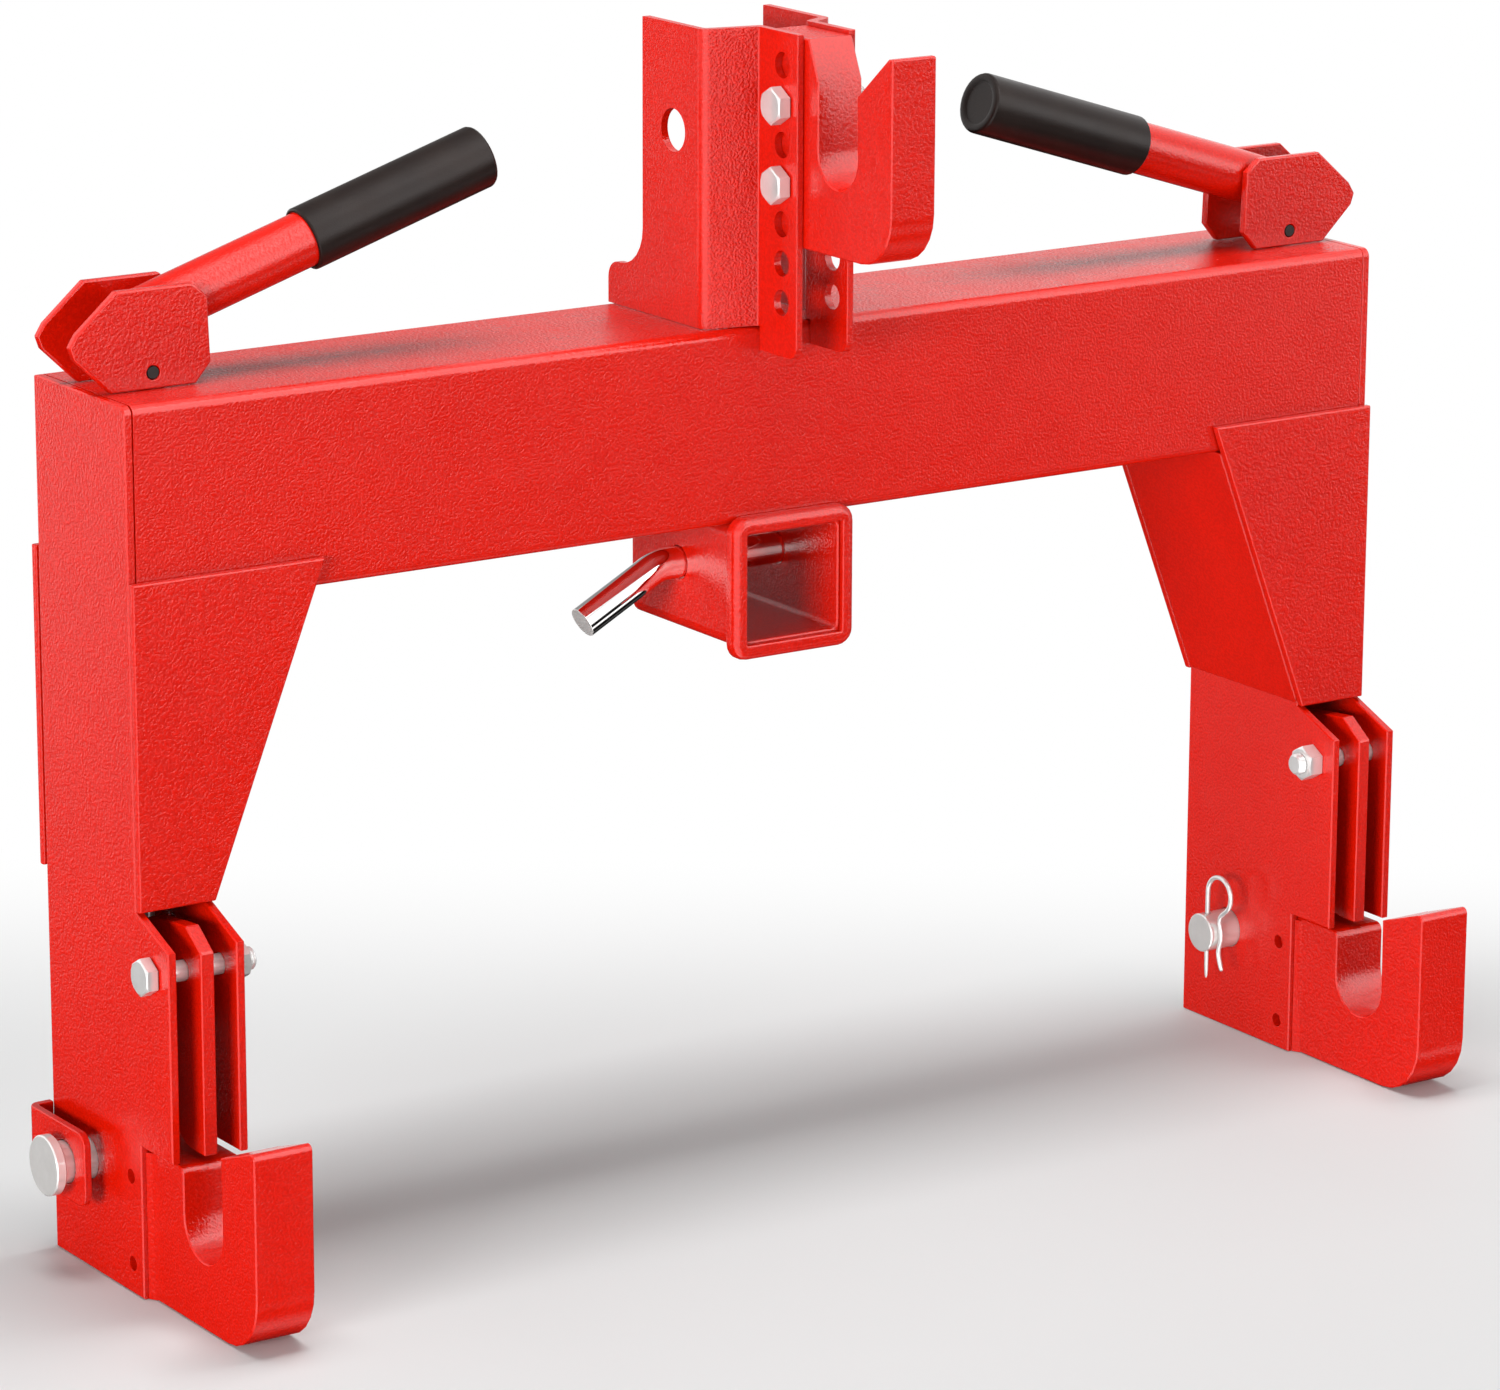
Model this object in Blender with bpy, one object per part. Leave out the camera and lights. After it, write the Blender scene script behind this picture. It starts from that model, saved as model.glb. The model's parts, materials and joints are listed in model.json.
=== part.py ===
"""Three point quick hitch: a tractor coupler frame with hooks, latches and handles.

Metres, +Z up. The frame stands on the flat bottoms of its legs and lower hooks,
X runs along the crossbeam and the hooks point towards -Y. Every outline below is
written with Y = 0 on the front face of the crossbeam; Y_SHIFT then moves the whole
object so that its box is centred on the origin.
"""

import math

import bmesh
import bpy
from mathutils import Matrix, Vector
from mathutils.geometry import tessellate_polygon

# Clearances
FIT = 0.0003                 # between two pieces that touch in the real object
BORE_FIT = 0.0004            # on the radius of every bore
EDGE = 0.0006                # broken edge of a plate

# Frame
HOOK_SPACING = 0.6820        # lower hooks, centre to centre
HOOK_THICK = 0.0306
LEG_PLATE = 0.0044
BEAM_TOP = 0.4264
BEAM_HEIGHT = 0.0963
BEAM_DEPTH = 0.0906
BEAM_WALL = 0.0050
BEAM_ROUND = 0.0045
LEG_BACK_LOW = 0.1050        # the leg is open at the back below this, for the lower link
GUSSET_PLATE = 0.0044
GUSSET_OVERLAP = 0.0146      # how far a gusset rises over the beam
GUSSET_BOTTOM = 0.1894
GUSSET_REACH = 0.0608        # how far a gusset runs inwards at its top
WEB_PLATE = 0.0038

# Ears of the leg plates, which carry the latch bolt
LEG_EAR_REACH = 0.0309
LEG_EAR_DROP = 0.0126        # top of the ear below the gussets
LEG_EAR_GAP = 0.0020         # bottom of the ear above the hook
PLUG_HOLE_RADIUS = 0.0036
PLUG_HOLE_DEPTH = 0.0101
PLUG_HOLE_HEIGHTS = (0.0148, 0.0580)

# Lower hooks
HOOK_FRONT = 0.1000
HOOK_REAR = 0.0340
HOOK_LAND = 0.0735           # height of the hook under the ears
HOOK_SLOT_BACK = 0.0323
HOOK_SLOT_WIDTH = 0.0367
HOOK_SLOT_BOTTOM = 0.0325
HOOK_PRONG_INNER = 0.0890
HOOK_PRONG_TOP = 0.0999
HOOK_CORNER = 0.0280
WELD_LEG = 0.0042
WELD_WIDTH = 0.0022

# Latches and their bolts
LATCH_THICK = 0.0072
LATCH_FRONT = 0.0317
LATCH_GAP = 0.0030           # bottom of the bar above the hook
LATCH_DEPTH = 0.0295
LATCH_CORNER = 0.0180
LATCH_HEAD_RISE = 0.0219     # top of the bar above the latch bolt
LATCH_HEAD_CUT = 0.0098
LATCH_HEAD_FALL = 0.0030     # fall of the bar's top towards the rear, clear of the gusset
LATCH_ARM_DROP = 0.0374      # where the bar narrows, below the latch bolt
LATCH_ARM_HALF = 0.0085
LATCH_STUB_DROP = 0.0089     # stub below the latch bolt
LATCH_STUB_RADIUS = 0.0035
LATCH_BOLT_DEPTH = -0.0145
LATCH_BOLT_DROP = 0.0144     # latch bolt below the top of the ear
LATCH_BOLT_RADIUS = 0.0050
HEX_ACROSS = 0.0160
HEX_HEAD = 0.0064
HEX_NUT = 0.0080
BOLT_END = 0.0040

# Pull rods and return springs
ROD_INSET = 0.0105           # rod axis inboard of the hook centre
ROD_DEPTH = 0.0460
ROD_RADIUS = 0.0035
ROD_EYE_RADIUS = 0.0070
ROD_FLAT_THICK = 0.0050
ROD_FLAT_WIDTH = 0.0180
ROD_SLOT_WIDTH = 0.0090
ROD_SLOT_TRAVEL = 0.0275
ROD_COLLAR_RADIUS = 0.0100
ROD_COLLAR_THICK = 0.0030
ROD_COLLAR_LIFT = 0.0075     # collar above the floor of the beam
SPRING_WIRE = 0.0011
SPRING_RADIUS = 0.0072
SPRING_TURNS = 7

# Handles
PIVOT_LIFT = 0.0078          # handle pin above the top of the beam
PIVOT_RADIUS = 0.0030
HANDLE_TILT = math.radians(17.5)
HANDLE_RISE = 0.02175         # handle axis above the handle pin
TUBE_RADIUS = 0.01335
TUBE_WALL = 0.0028
EAR_PLATE = 0.0044
EAR_HEIGHT = 0.0468
EAR_INNER = 0.0300
EAR_INNER_FLAT = 0.0220
EAR_TOP_INNER = 0.0210
EAR_TOP_OUTER = 0.0180
EAR_OUTER_FLAT = 0.0220
EAR_NOSE = 0.0422
EAR_NOSE_HEIGHT = 0.0232
GRIP_RADIUS = 0.0154
GRIP_LENGTH = 0.1015
GRIP_END = 0.0026
GRIP_REACH = 0.1950          # from the handle pin to the end of the grip, along the handle

# Lower hitch pins
HITCH_PIN_DEPTH = 0.0534
HITCH_PIN_HEIGHT = 0.0550
HITCH_PIN_RADIUS = 0.0103
HITCH_PIN_HEAD = 0.0147
HITCH_PIN_HEAD_THICK = 0.0052
HITCH_PIN_HEAD_GAP = 0.0060
HITCH_PIN_END = 0.0187       # how far it stands out of the inner leg plate
BRACKET_PLATE = 0.0038
BRACKET_GAP = 0.0084
BRACKET_AHEAD = 0.0204       # edges of the bracket from the axis of the hitch pin
BRACKET_BELOW = 0.0180
BRACKET_ABOVE = 0.0185
BRACKET_ROUND = 0.0070
CLIP_WIRE = 0.0014
CLIP_FROM_END = 0.0050

# Receiver
RECEIVER_OUTER = 0.0620
RECEIVER_WALL = 0.0045
RECEIVER_ROUND = 0.0070
RECEIVER_REAR = 0.0915
RECEIVER_MOUTH = 0.0555
COLLAR_OUTER = 0.0710
COLLAR_FRONT = 0.0078
COLLAR_LIP = 0.0028
COLLAR_ROUND = 0.0042
COLLAR_CORNER = 0.0085
RECEIVER_PIN_RADIUS = 0.0079
RECEIVER_PIN_DEPTH = 0.0500
RECEIVER_PIN_OUT = 0.0140
RECEIVER_PIN_BEND = math.radians(28.0)
RECEIVER_PIN_BEND_RADIUS = 0.0220
RECEIVER_PIN_LEG = 0.0440
RECEIVER_PIN_CLEAR = 0.0060
RECEIVER_PIN_RISE = 0.0030    # pin above the middle of the tube

# Tower and top hook
TOP_HOOK_THICK = 0.0250
TOWER_PLATE = 0.0038
TOWER_CHEEKS = {"left": 0.0450, "right": 0.0285}    # outer faces of the rear cheeks
TOWER_HEIGHT = 0.1448        # above the beam
TOWER_FLANGE = 0.0315
TOWER_DROP = 0.0114          # how far the flanges run down the front of the beam
TOWER_REAR = 0.0595
TOWER_WEB_FRONT = 0.0010
TOWER_WEB_SLANT = 0.0060
TOWER_BEND = 0.0060
TOWER_FOOT = 0.0210          # height of the foot at the rear of the beam
TOWER_FOOT_NECK = 0.0445     # height at which the foot leaves the plate
LINK_HOLE_RADIUS = 0.0105
LINK_HOLE_DEPTH = 0.0325
LINK_HOLE_DROP = 0.0515      # below the top of the tower
ROW_RADIUS = 0.0063
ROW_DEPTH = -0.0187
ROW_DROP = 0.0159            # first hole of the row below the top of the tower
ROW_PITCH = 0.01905
ROW_COUNT = 7
ROW_BOLTS = (1, 3)           # which holes of the row, from the top, hold the bolts
ROW_BOLT_RADIUS = 0.0055
ROW_HEAD = 0.0070
TOP_HOOK_RISE = 0.03305      # top of the hook above its upper bolt
TOP_HOOK_HEIGHT = 0.1005
TOP_HOOK_FRONT = 0.1035
TOP_HOOK_REAR = 0.0045
TOP_SLOT_BACK = 0.0430
TOP_SLOT_WIDTH = 0.0324
TOP_SLOT_DEEP = 0.0682
TOP_SLOT_LEAD = 0.0195
TOP_SLOT_LEAD_IN = 0.0085
TOP_PRONG_DROP = 0.0205
TOP_PRONG_TIP = 0.0035
TOP_HOOK_CORNER = 0.0250

# Derived places
LEG_X = HOOK_SPACING / 2
LEG_INNER = LEG_X - HOOK_THICK / 2 - FIT - LEG_PLATE
LEG_OUTER = LEG_X + HOOK_THICK / 2 + FIT + LEG_PLATE
BEAM_BOTTOM = BEAM_TOP - BEAM_HEIGHT
BEAM_END = LEG_OUTER - LEG_PLATE - FIT
GUSSET_TOP = BEAM_BOTTOM + GUSSET_OVERLAP
PIVOT_X = LEG_X - ROD_INSET
PIVOT_Z = BEAM_TOP + PIVOT_LIFT
EAR_INSIDE = TUBE_RADIUS + FIT
LEG_EAR_TOP = GUSSET_BOTTOM - LEG_EAR_DROP
LEG_EAR_BOTTOM = HOOK_LAND + LEG_EAR_GAP
LATCH_BOLT_HEIGHT = LEG_EAR_TOP - LATCH_BOLT_DROP
LATCH_HEAD_TOP = LATCH_BOLT_HEIGHT + LATCH_HEAD_RISE
LATCH_BOTTOM = HOOK_LAND + LATCH_GAP
STUB_Z = LATCH_BOLT_HEIGHT - LATCH_STUB_DROP
BRACKET_FRONT = HITCH_PIN_DEPTH - BRACKET_AHEAD
BRACKET_BOTTOM = HITCH_PIN_HEIGHT - BRACKET_BELOW
BRACKET_TOP = HITCH_PIN_HEIGHT + BRACKET_ABOVE
BRACKET_OUTER = LEG_OUTER + FIT + BRACKET_GAP + BRACKET_PLATE
HEAD_OUTER = BRACKET_OUTER + HITCH_PIN_HEAD_GAP + HITCH_PIN_HEAD_THICK
PIN_END = LEG_INNER - HITCH_PIN_END
RECEIVER_Z = BEAM_BOTTOM - FIT - RECEIVER_OUTER / 2
RECEIVER_PIN_Z = RECEIVER_Z + RECEIVER_PIN_RISE
FLANGE_OUTER = TOP_HOOK_THICK / 2 + FIT + TOWER_PLATE
TOWER_TOP = BEAM_TOP + TOWER_HEIGHT
TOWER_BOTTOM = BEAM_TOP - TOWER_DROP
LINK_HOLE_HEIGHT = TOWER_TOP - LINK_HOLE_DROP
ROW_TOP = TOWER_TOP - ROW_DROP
TOP_HOOK_TOP = ROW_TOP - ROW_PITCH * ROW_BOLTS[0] + TOP_HOOK_RISE
REAR_REACH = BEAM_DEPTH + FIT + GUSSET_PLATE
Y_SHIFT = (TOP_HOOK_FRONT - REAR_REACH) / 2

AXES = {"X": (1, 2, 0), "Y": (0, 2, 1), "Z": (0, 1, 2)}


def clear_scene():
    """Remove every object of the open file."""
    for item in list(bpy.data.objects):
        bpy.data.objects.remove(item, do_unlink=True)


def make_material(name, color, roughness, metallic=0.0):
    """One Principled material."""
    material = bpy.data.materials.new(name)
    material.use_nodes = True
    shader = material.node_tree.nodes["Principled BSDF"]
    shader.inputs["Base Color"].default_value = (*color, 1.0)
    shader.inputs["Roughness"].default_value = roughness
    shader.inputs["Metallic"].default_value = metallic
    material.diffuse_color = (*color, 1.0)
    return material


FINISHES = {
    "red": ((0.80, 0.02, 0.015), 0.35, 0.0),
    "zinc": ((0.78, 0.77, 0.74), 0.28, 1.0),
    "chrome": ((0.85, 0.84, 0.83), 0.12, 1.0),
    "black": ((0.03, 0.026, 0.024), 0.50, 0.0),
    "spring": ((0.30, 0.30, 0.31), 0.40, 1.0),
}


def arc(center, radius, start, end, steps):
    """Points of an arc in a plane, both ends included; angles in degrees."""
    points = []
    for step in range(steps + 1):
        angle = math.radians(start + (end - start) * step / steps)
        points.append((center[0] + radius * math.cos(angle), center[1] + radius * math.sin(angle)))
    return points


def circle(center, radius, steps=24):
    """A closed loop of points round a centre."""
    return arc(center, radius, 0.0, 360.0, steps)[:-1]


def rounded(corners, steps=4):
    """A closed outline from (x, y, radius) corners, each with its own fillet."""
    points = []
    count = len(corners)
    for index, (x, y, radius) in enumerate(corners):
        here = Vector((x, y))
        if radius <= 0.0:
            points.append((x, y))
            continue
        before = (Vector(corners[index - 1][:2]) - here).normalized()
        after = (Vector(corners[(index + 1) % count][:2]) - here).normalized()
        half = before.angle(after) / 2
        reach = radius / math.tan(half)
        center = here + (before + after).normalized() * (radius / math.sin(half))
        first = here + before * reach - center
        sweep = math.pi - 2 * half
        turn = 1.0 if before.cross(first) > 0.0 else -1.0
        for step in range(steps + 1):
            spin = Matrix.Rotation(turn * sweep * step / steps, 2)
            points.append(tuple(center + spin @ first))
    return points


def signed_area(loop):
    """Twice the area of a closed loop, positive when it runs counter-clockwise."""
    return sum(a[0] * b[1] - b[0] * a[1] for a, b in zip(loop, loop[1:] + loop[:1]))


def inset(loop, distance):
    """The loop moved inwards by a distance, corner by corner."""
    side = 1.0 if signed_area(loop) > 0.0 else -1.0
    moved = []
    for index, point in enumerate(loop):
        here = Vector(point)
        before = (here - Vector(loop[index - 1])).normalized()
        after = (Vector(loop[(index + 1) % len(loop)]) - here).normalized()
        normal = Vector((-before.y - after.y, before.x + after.x))
        normal = normal.normalized() * side
        scale = normal.dot(Vector((-before.y, before.x)) * side)
        moved.append(tuple(here + normal * (distance / max(scale, 0.35))))
    return moved


def place(point, level, axis):
    """A point of an outline at a level along the axis."""
    first, second, third = AXES[axis]
    co = [0.0, 0.0, 0.0]
    co[first], co[second], co[third] = point[0], point[1], level
    return co


def bridge(bm, lower, upper):
    """Quads between two rings of vertices."""
    count = len(lower)
    for index in range(count):
        after = (index + 1) % count
        bm.faces.new((lower[index], lower[after], upper[after], upper[index]))


def cap(bm, rings):
    """Close a level with triangles, the first ring outside and the others as holes."""
    flat = [vert for ring in rings for vert in ring[0]]
    loops = [[Vector((*point, 0.0)) for point in ring[1]] for ring in rings]
    for triangle in tessellate_polygon(loops):
        corners = [flat[index] for index in triangle]
        if len(set(corners)) == 3:
            bm.faces.new(corners)


def prism(outline, axis, low, high, holes=(), edge=0.0):
    """An outline with holes pushed along an axis, its outer edges broken by edge."""
    bm = bmesh.new()
    levels = [(low, edge), (high, edge)]
    if edge > 0.0:
        levels = [(low, edge), (low + edge, 0.0), (high - edge, 0.0), (high, edge)]
    rings = []
    for level, amount in levels:
        loop = inset(outline, amount) if amount > 0.0 else outline
        rings.append(([bm.verts.new(place(p, level, axis)) for p in loop], loop))
    for lower, upper in zip(rings, rings[1:]):
        bridge(bm, lower[0], upper[0])
    ends = [[rings[0]], [rings[-1]]]
    for hole in holes:
        lower = [bm.verts.new(place(p, low, axis)) for p in hole]
        upper = [bm.verts.new(place(p, high, axis)) for p in hole]
        bridge(bm, upper, lower)
        ends[0].append((lower, hole))
        ends[1].append((upper, hole))
    for end in ends:
        if len(end) > 1:
            cap(bm, end)
        else:
            bm.faces.new(end[0][0])
    return settle(bm)


def settle(bm):
    """Make every face point outwards."""
    bmesh.ops.recalc_face_normals(bm, faces=bm.faces[:])
    if bm.calc_volume(signed=True) < 0.0:
        bmesh.ops.reverse_faces(bm, faces=bm.faces[:])
    return bm


def lathe(profile, axis, center, steps=24):
    """A (level, radius) profile turned round an axis; radius 0 closes an end."""
    bm = bmesh.new()
    rings = []
    for level, radius in profile:
        if radius == 0.0:
            rings.append([bm.verts.new(place(center, level, axis))])
        else:
            rings.append([bm.verts.new(place(p, level, axis)) for p in circle(center, radius, steps)])
    closed = profile[0][1] > 0.0
    pairs = list(zip(rings, rings[1:]))
    if closed:
        pairs.append((rings[-1], rings[0]))
    for lower, upper in pairs:
        if len(lower) == 1 or len(upper) == 1:
            tip, ring = (lower[0], upper) if len(lower) == 1 else (upper[0], lower)
            for index in range(steps):
                bm.faces.new((tip, ring[index], ring[(index + 1) % steps]))
        else:
            bridge(bm, lower, upper)
    return settle(bm)


def rod_profile(low, high, radius, chamfer):
    """The profile of a plain round bar with broken ends."""
    return [
        (low, 0.0),
        (low, radius - chamfer),
        (low + chamfer, radius),
        (high - chamfer, radius),
        (high, radius - chamfer),
        (high, 0.0),
    ]


def sweep(path, radius, sides=12, up=Vector((0.0, 1.0, 0.0))):
    """A round wire along a list of points, with flat ends."""
    bm = bmesh.new()
    points = [Vector(p) for p in path]
    rings = []
    for index, point in enumerate(points):
        ahead = points[min(index + 1, len(points) - 1)]
        behind = points[max(index - 1, 0)]
        forward = (ahead - behind).normalized()
        across = forward.cross(up).normalized()
        over = across.cross(forward).normalized()
        ring = []
        for side in range(sides):
            angle = 2 * math.pi * side / sides
            ring.append(bm.verts.new(point + (across * math.cos(angle) + over * math.sin(angle)) * radius))
        rings.append(ring)
    for lower, upper in zip(rings, rings[1:]):
        bridge(bm, lower, upper)
    bm.faces.new(rings[0])
    bm.faces.new(rings[-1])
    return settle(bm)


def square_ring(profile, center_z, corner, base):
    """A (half width, depth) profile carried round a square with round corners."""
    bm = bmesh.new()
    rings = []
    for half, depth in profile:
        radius = max(corner + half - base, 0.0006)
        corners = [(half, half, radius), (-half, half, radius), (-half, -half, radius), (half, -half, radius)]
        loop = rounded(corners, 5)
        rings.append([bm.verts.new((x, depth, z + center_z)) for x, z in loop])
    for lower, upper in zip(rings, rings[1:] + rings[:1]):
        bridge(bm, lower, upper)
    return settle(bm)


def combine(first, second, operation):
    """Join, cut or intersect two meshes with an exact Boolean and return the result."""
    items = []
    for number, bm in enumerate((first, second)):
        mesh = bpy.data.meshes.new(f"tool_{number}")
        bm.to_mesh(mesh)
        bm.free()
        item = bpy.data.objects.new(mesh.name, mesh)
        bpy.context.scene.collection.objects.link(item)
        items.append(item)
    body, cutter = items
    cutter.hide_render = True
    cutter.display_type = "WIRE"
    modifier = body.modifiers.new("combine", "BOOLEAN")
    modifier.operation = operation
    modifier.solver = "EXACT"
    modifier.object = cutter
    bpy.context.view_layer.update()
    graph = bpy.context.evaluated_depsgraph_get()
    result = bmesh.new()
    result.from_mesh(body.evaluated_get(graph).data)
    meshes = [item.data for item in items]
    for item in items:
        bpy.data.objects.remove(item, do_unlink=True)
    for mesh in meshes:
        bpy.data.meshes.remove(mesh)
    bmesh.ops.remove_doubles(result, verts=result.verts[:], dist=0.00001)
    bmesh.ops.dissolve_limit(result, angle_limit=0.001, verts=result.verts[:], edges=result.edges[:])
    bmesh.ops.triangulate(result, faces=[f for f in result.faces if len(f.verts) > 4])
    return settle(result)


def add_piece(name, bm, finish, side=1, origin=(0.0, 0.0, 0.0), smooth=False):
    """Turn a right-hand mesh into a named object; side -1 mirrors it to the left."""
    pivot = Vector((origin[0] * side, origin[1] + Y_SHIFT, origin[2]))
    for vert in bm.verts:
        vert.co.x *= side
        vert.co.y += Y_SHIFT
        vert.co -= pivot
    settle(bm)
    mesh = bpy.data.meshes.new(name)
    bm.to_mesh(mesh)
    bm.free()
    if smooth:
        mesh.polygons.foreach_set("use_smooth", [True] * len(mesh.polygons))
        mesh.set_sharp_from_angle(angle=math.radians(35.0))
    mesh.materials.append(make_material(name, *FINISHES[finish]))
    item = bpy.data.objects.new(name, mesh)
    item.location = pivot
    bpy.context.scene.collection.objects.link(item)
    return item


def hexagon(center, across):
    """A hexagon with a corner at its top."""
    radius = across / math.sqrt(3.0)
    return arc(center, radius, 90.0, 450.0, 6)[:-1]


def hex_head(center, across, low, high):
    """A hexagon bolt head or nut blank along X with broken corners."""
    return prism(hexagon(center, across), "X", low, high, edge=EDGE)


def bolt(center, radius, tip, seat, head_height):
    """A hexagon bolt along X, from its tip up to the top of its head."""
    head = hex_head(center, HEX_ACROSS, seat, seat + head_height)
    shank = lathe(rod_profile(tip, seat + head_height / 2, radius, EDGE), "X", center)
    return combine(head, shank, "UNION")


def nut(center, radius, low, high):
    """A hexagon nut along X with its bore."""
    bore = circle(center, radius + BORE_FIT)
    return prism(hexagon(center, HEX_ACROSS), "X", low, high, holes=[bore])


def build_crossbeam():
    """The hollow beam, with the holes that the pull rods pass through."""
    outer = rounded([
        (0.0, BEAM_BOTTOM, BEAM_ROUND), (BEAM_DEPTH, BEAM_BOTTOM, BEAM_ROUND),
        (BEAM_DEPTH, BEAM_TOP, BEAM_ROUND), (0.0, BEAM_TOP, BEAM_ROUND),
    ], 5)
    inner = rounded([
        (BEAM_WALL, BEAM_BOTTOM + BEAM_WALL, FIT * 4),
        (BEAM_DEPTH - BEAM_WALL, BEAM_BOTTOM + BEAM_WALL, FIT * 4),
        (BEAM_DEPTH - BEAM_WALL, BEAM_TOP - BEAM_WALL, FIT * 4),
        (BEAM_WALL, BEAM_TOP - BEAM_WALL, FIT * 4),
    ], 2)
    beam = prism(outer, "X", -BEAM_END, BEAM_END, holes=[inner])
    for side in (-1, 1):
        top = prism(circle((PIVOT_X * side, ROD_DEPTH), ROD_RADIUS + BORE_FIT), "Z",
                    BEAM_TOP - 2 * BEAM_WALL, BEAM_TOP + BEAM_WALL)
        beam = combine(beam, top, "DIFFERENCE")
        floor = prism(circle((PIVOT_X * side, ROD_DEPTH), ROD_RADIUS + BORE_FIT), "Z",
                      BEAM_BOTTOM - BEAM_WALL, BEAM_BOTTOM + 2 * BEAM_WALL)
        beam = combine(beam, floor, "DIFFERENCE")
    add_piece("crossbeam", beam, "red", smooth=True)


def leg_profile(top, top_round):
    """The side of a leg plate, with its latch ear, below the given height."""
    return rounded([
        (0.0, 0.0, 0.0),
        (BEAM_DEPTH, 0.0, 0.0),
        (BEAM_DEPTH, top, top_round),
        (0.0, top, top_round),
        (0.0, GUSSET_BOTTOM - FIT, 0.0),
        (-LEG_EAR_REACH, LEG_EAR_TOP, 0.0),
        (-LEG_EAR_REACH, LEG_EAR_BOTTOM, 0.0),
        (0.0, LEG_EAR_BOTTOM, 0.0),
    ], 5)


def leg_holes():
    """Holes of a leg plate: hitch pin, latch bolt and two plug weld holes."""
    holes = [
        circle((HITCH_PIN_DEPTH, HITCH_PIN_HEIGHT), HITCH_PIN_RADIUS + BORE_FIT, 32),
        circle((LATCH_BOLT_DEPTH, LATCH_BOLT_HEIGHT), LATCH_BOLT_RADIUS + BORE_FIT, 20),
    ]
    for height in PLUG_HOLE_HEIGHTS:
        holes.append(circle((PLUG_HOLE_DEPTH, height), PLUG_HOLE_RADIUS, 16))
    return holes


def build_leg(label, side):
    """The outer, inner and back plates of one leg."""
    outer = prism(leg_profile(BEAM_TOP, BEAM_ROUND), "X", LEG_OUTER - LEG_PLATE, LEG_OUTER,
                  holes=leg_holes(), edge=EDGE)
    add_piece(f"{label}_leg_outer_plate", outer, "red", side)
    inner = prism(leg_profile(BEAM_BOTTOM - FIT, 0.0), "X", LEG_INNER, LEG_INNER + LEG_PLATE,
                  holes=leg_holes(), edge=EDGE)
    add_piece(f"{label}_leg_inner_plate", inner, "red", side)
    low = LEG_INNER + LEG_PLATE + FIT
    high = LEG_OUTER - LEG_PLATE - FIT
    back = prism([
        (low, LEG_BACK_LOW), (high, LEG_BACK_LOW), (high, BEAM_BOTTOM - FIT), (low, BEAM_BOTTOM - FIT),
    ], "Y", BEAM_DEPTH - LEG_PLATE, BEAM_DEPTH, edge=EDGE)
    add_piece(f"{label}_leg_back_plate", back, "red", side)


def gusset_line(height):
    """X of the slanted gusset edge at a height."""
    share = (height - GUSSET_BOTTOM) / (GUSSET_TOP - GUSSET_BOTTOM)
    return LEG_INNER - GUSSET_REACH * share


def build_gussets(label, side):
    """The two triangular cheek plates and the slanted web between them."""
    outline = [
        (LEG_OUTER, GUSSET_BOTTOM), (LEG_OUTER, GUSSET_TOP),
        (gusset_line(GUSSET_TOP), GUSSET_TOP), (LEG_INNER, GUSSET_BOTTOM),
    ]
    front = prism(outline, "Y", -FIT - GUSSET_PLATE, -FIT, edge=EDGE)
    add_piece(f"{label}_front_gusset", front, "red", side)
    rear = prism(outline, "Y", BEAM_DEPTH + FIT, BEAM_DEPTH + FIT + GUSSET_PLATE, edge=EDGE)
    add_piece(f"{label}_rear_gusset", rear, "red", side)
    top = BEAM_BOTTOM - FIT
    slope = GUSSET_REACH / (GUSSET_TOP - GUSSET_BOTTOM)
    across = WEB_PLATE * math.sqrt(1.0 + slope * slope)
    foot = LEG_INNER - FIT
    low = GUSSET_BOTTOM + (LEG_INNER - foot) / slope
    web = prism([
        (gusset_line(top), top), (foot, low),
        (foot, low + across / slope), (gusset_line(top) + across, top),
    ], "Y", 0.0, BEAM_DEPTH)
    add_piece(f"{label}_gusset_web", web, "red", side)


def build_lower_hook(label, side):
    """The thick lower hook with its pin slot and the weld beads beside it."""
    slot_front = -HOOK_SLOT_BACK - HOOK_SLOT_WIDTH
    radius = HOOK_SLOT_WIDTH / 2
    center = (-HOOK_SLOT_BACK - radius, HOOK_SLOT_BOTTOM + radius)
    outline = rounded([
        (HOOK_REAR, HOOK_LAND, 0.0),
        (HOOK_REAR, 0.0, 0.0),
        (-HOOK_FRONT, 0.0, HOOK_CORNER),
        (-HOOK_FRONT, HOOK_PRONG_TOP, 0.0030),
        (slot_front, HOOK_PRONG_INNER, 0.0050),
    ], 6)
    outline += arc(center, radius, 180.0, 360.0, 14)
    outline += arc((-HOOK_SLOT_BACK + 0.0040, HOOK_LAND - 0.0040), 0.0040, 180.0, 90.0, 4)
    hook = prism(outline, "X", LEG_X - HOOK_THICK / 2, LEG_X + HOOK_THICK / 2, edge=EDGE)
    for direction in (-1, 1):
        face = LEG_X + direction * HOOK_THICK / 2
        sunk = face - direction * 0.0020
        bead = prism([
            (sunk, -FIT), (face + direction * WELD_WIDTH, -FIT),
            (face, -FIT - WELD_LEG), (sunk, -FIT - WELD_LEG),
        ], "Z", 0.0, HOOK_LAND - 2 * EDGE)
        hook = combine(hook, bead, "UNION")
    add_piece(f"{label}_lower_hook", hook, "red", side)


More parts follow.
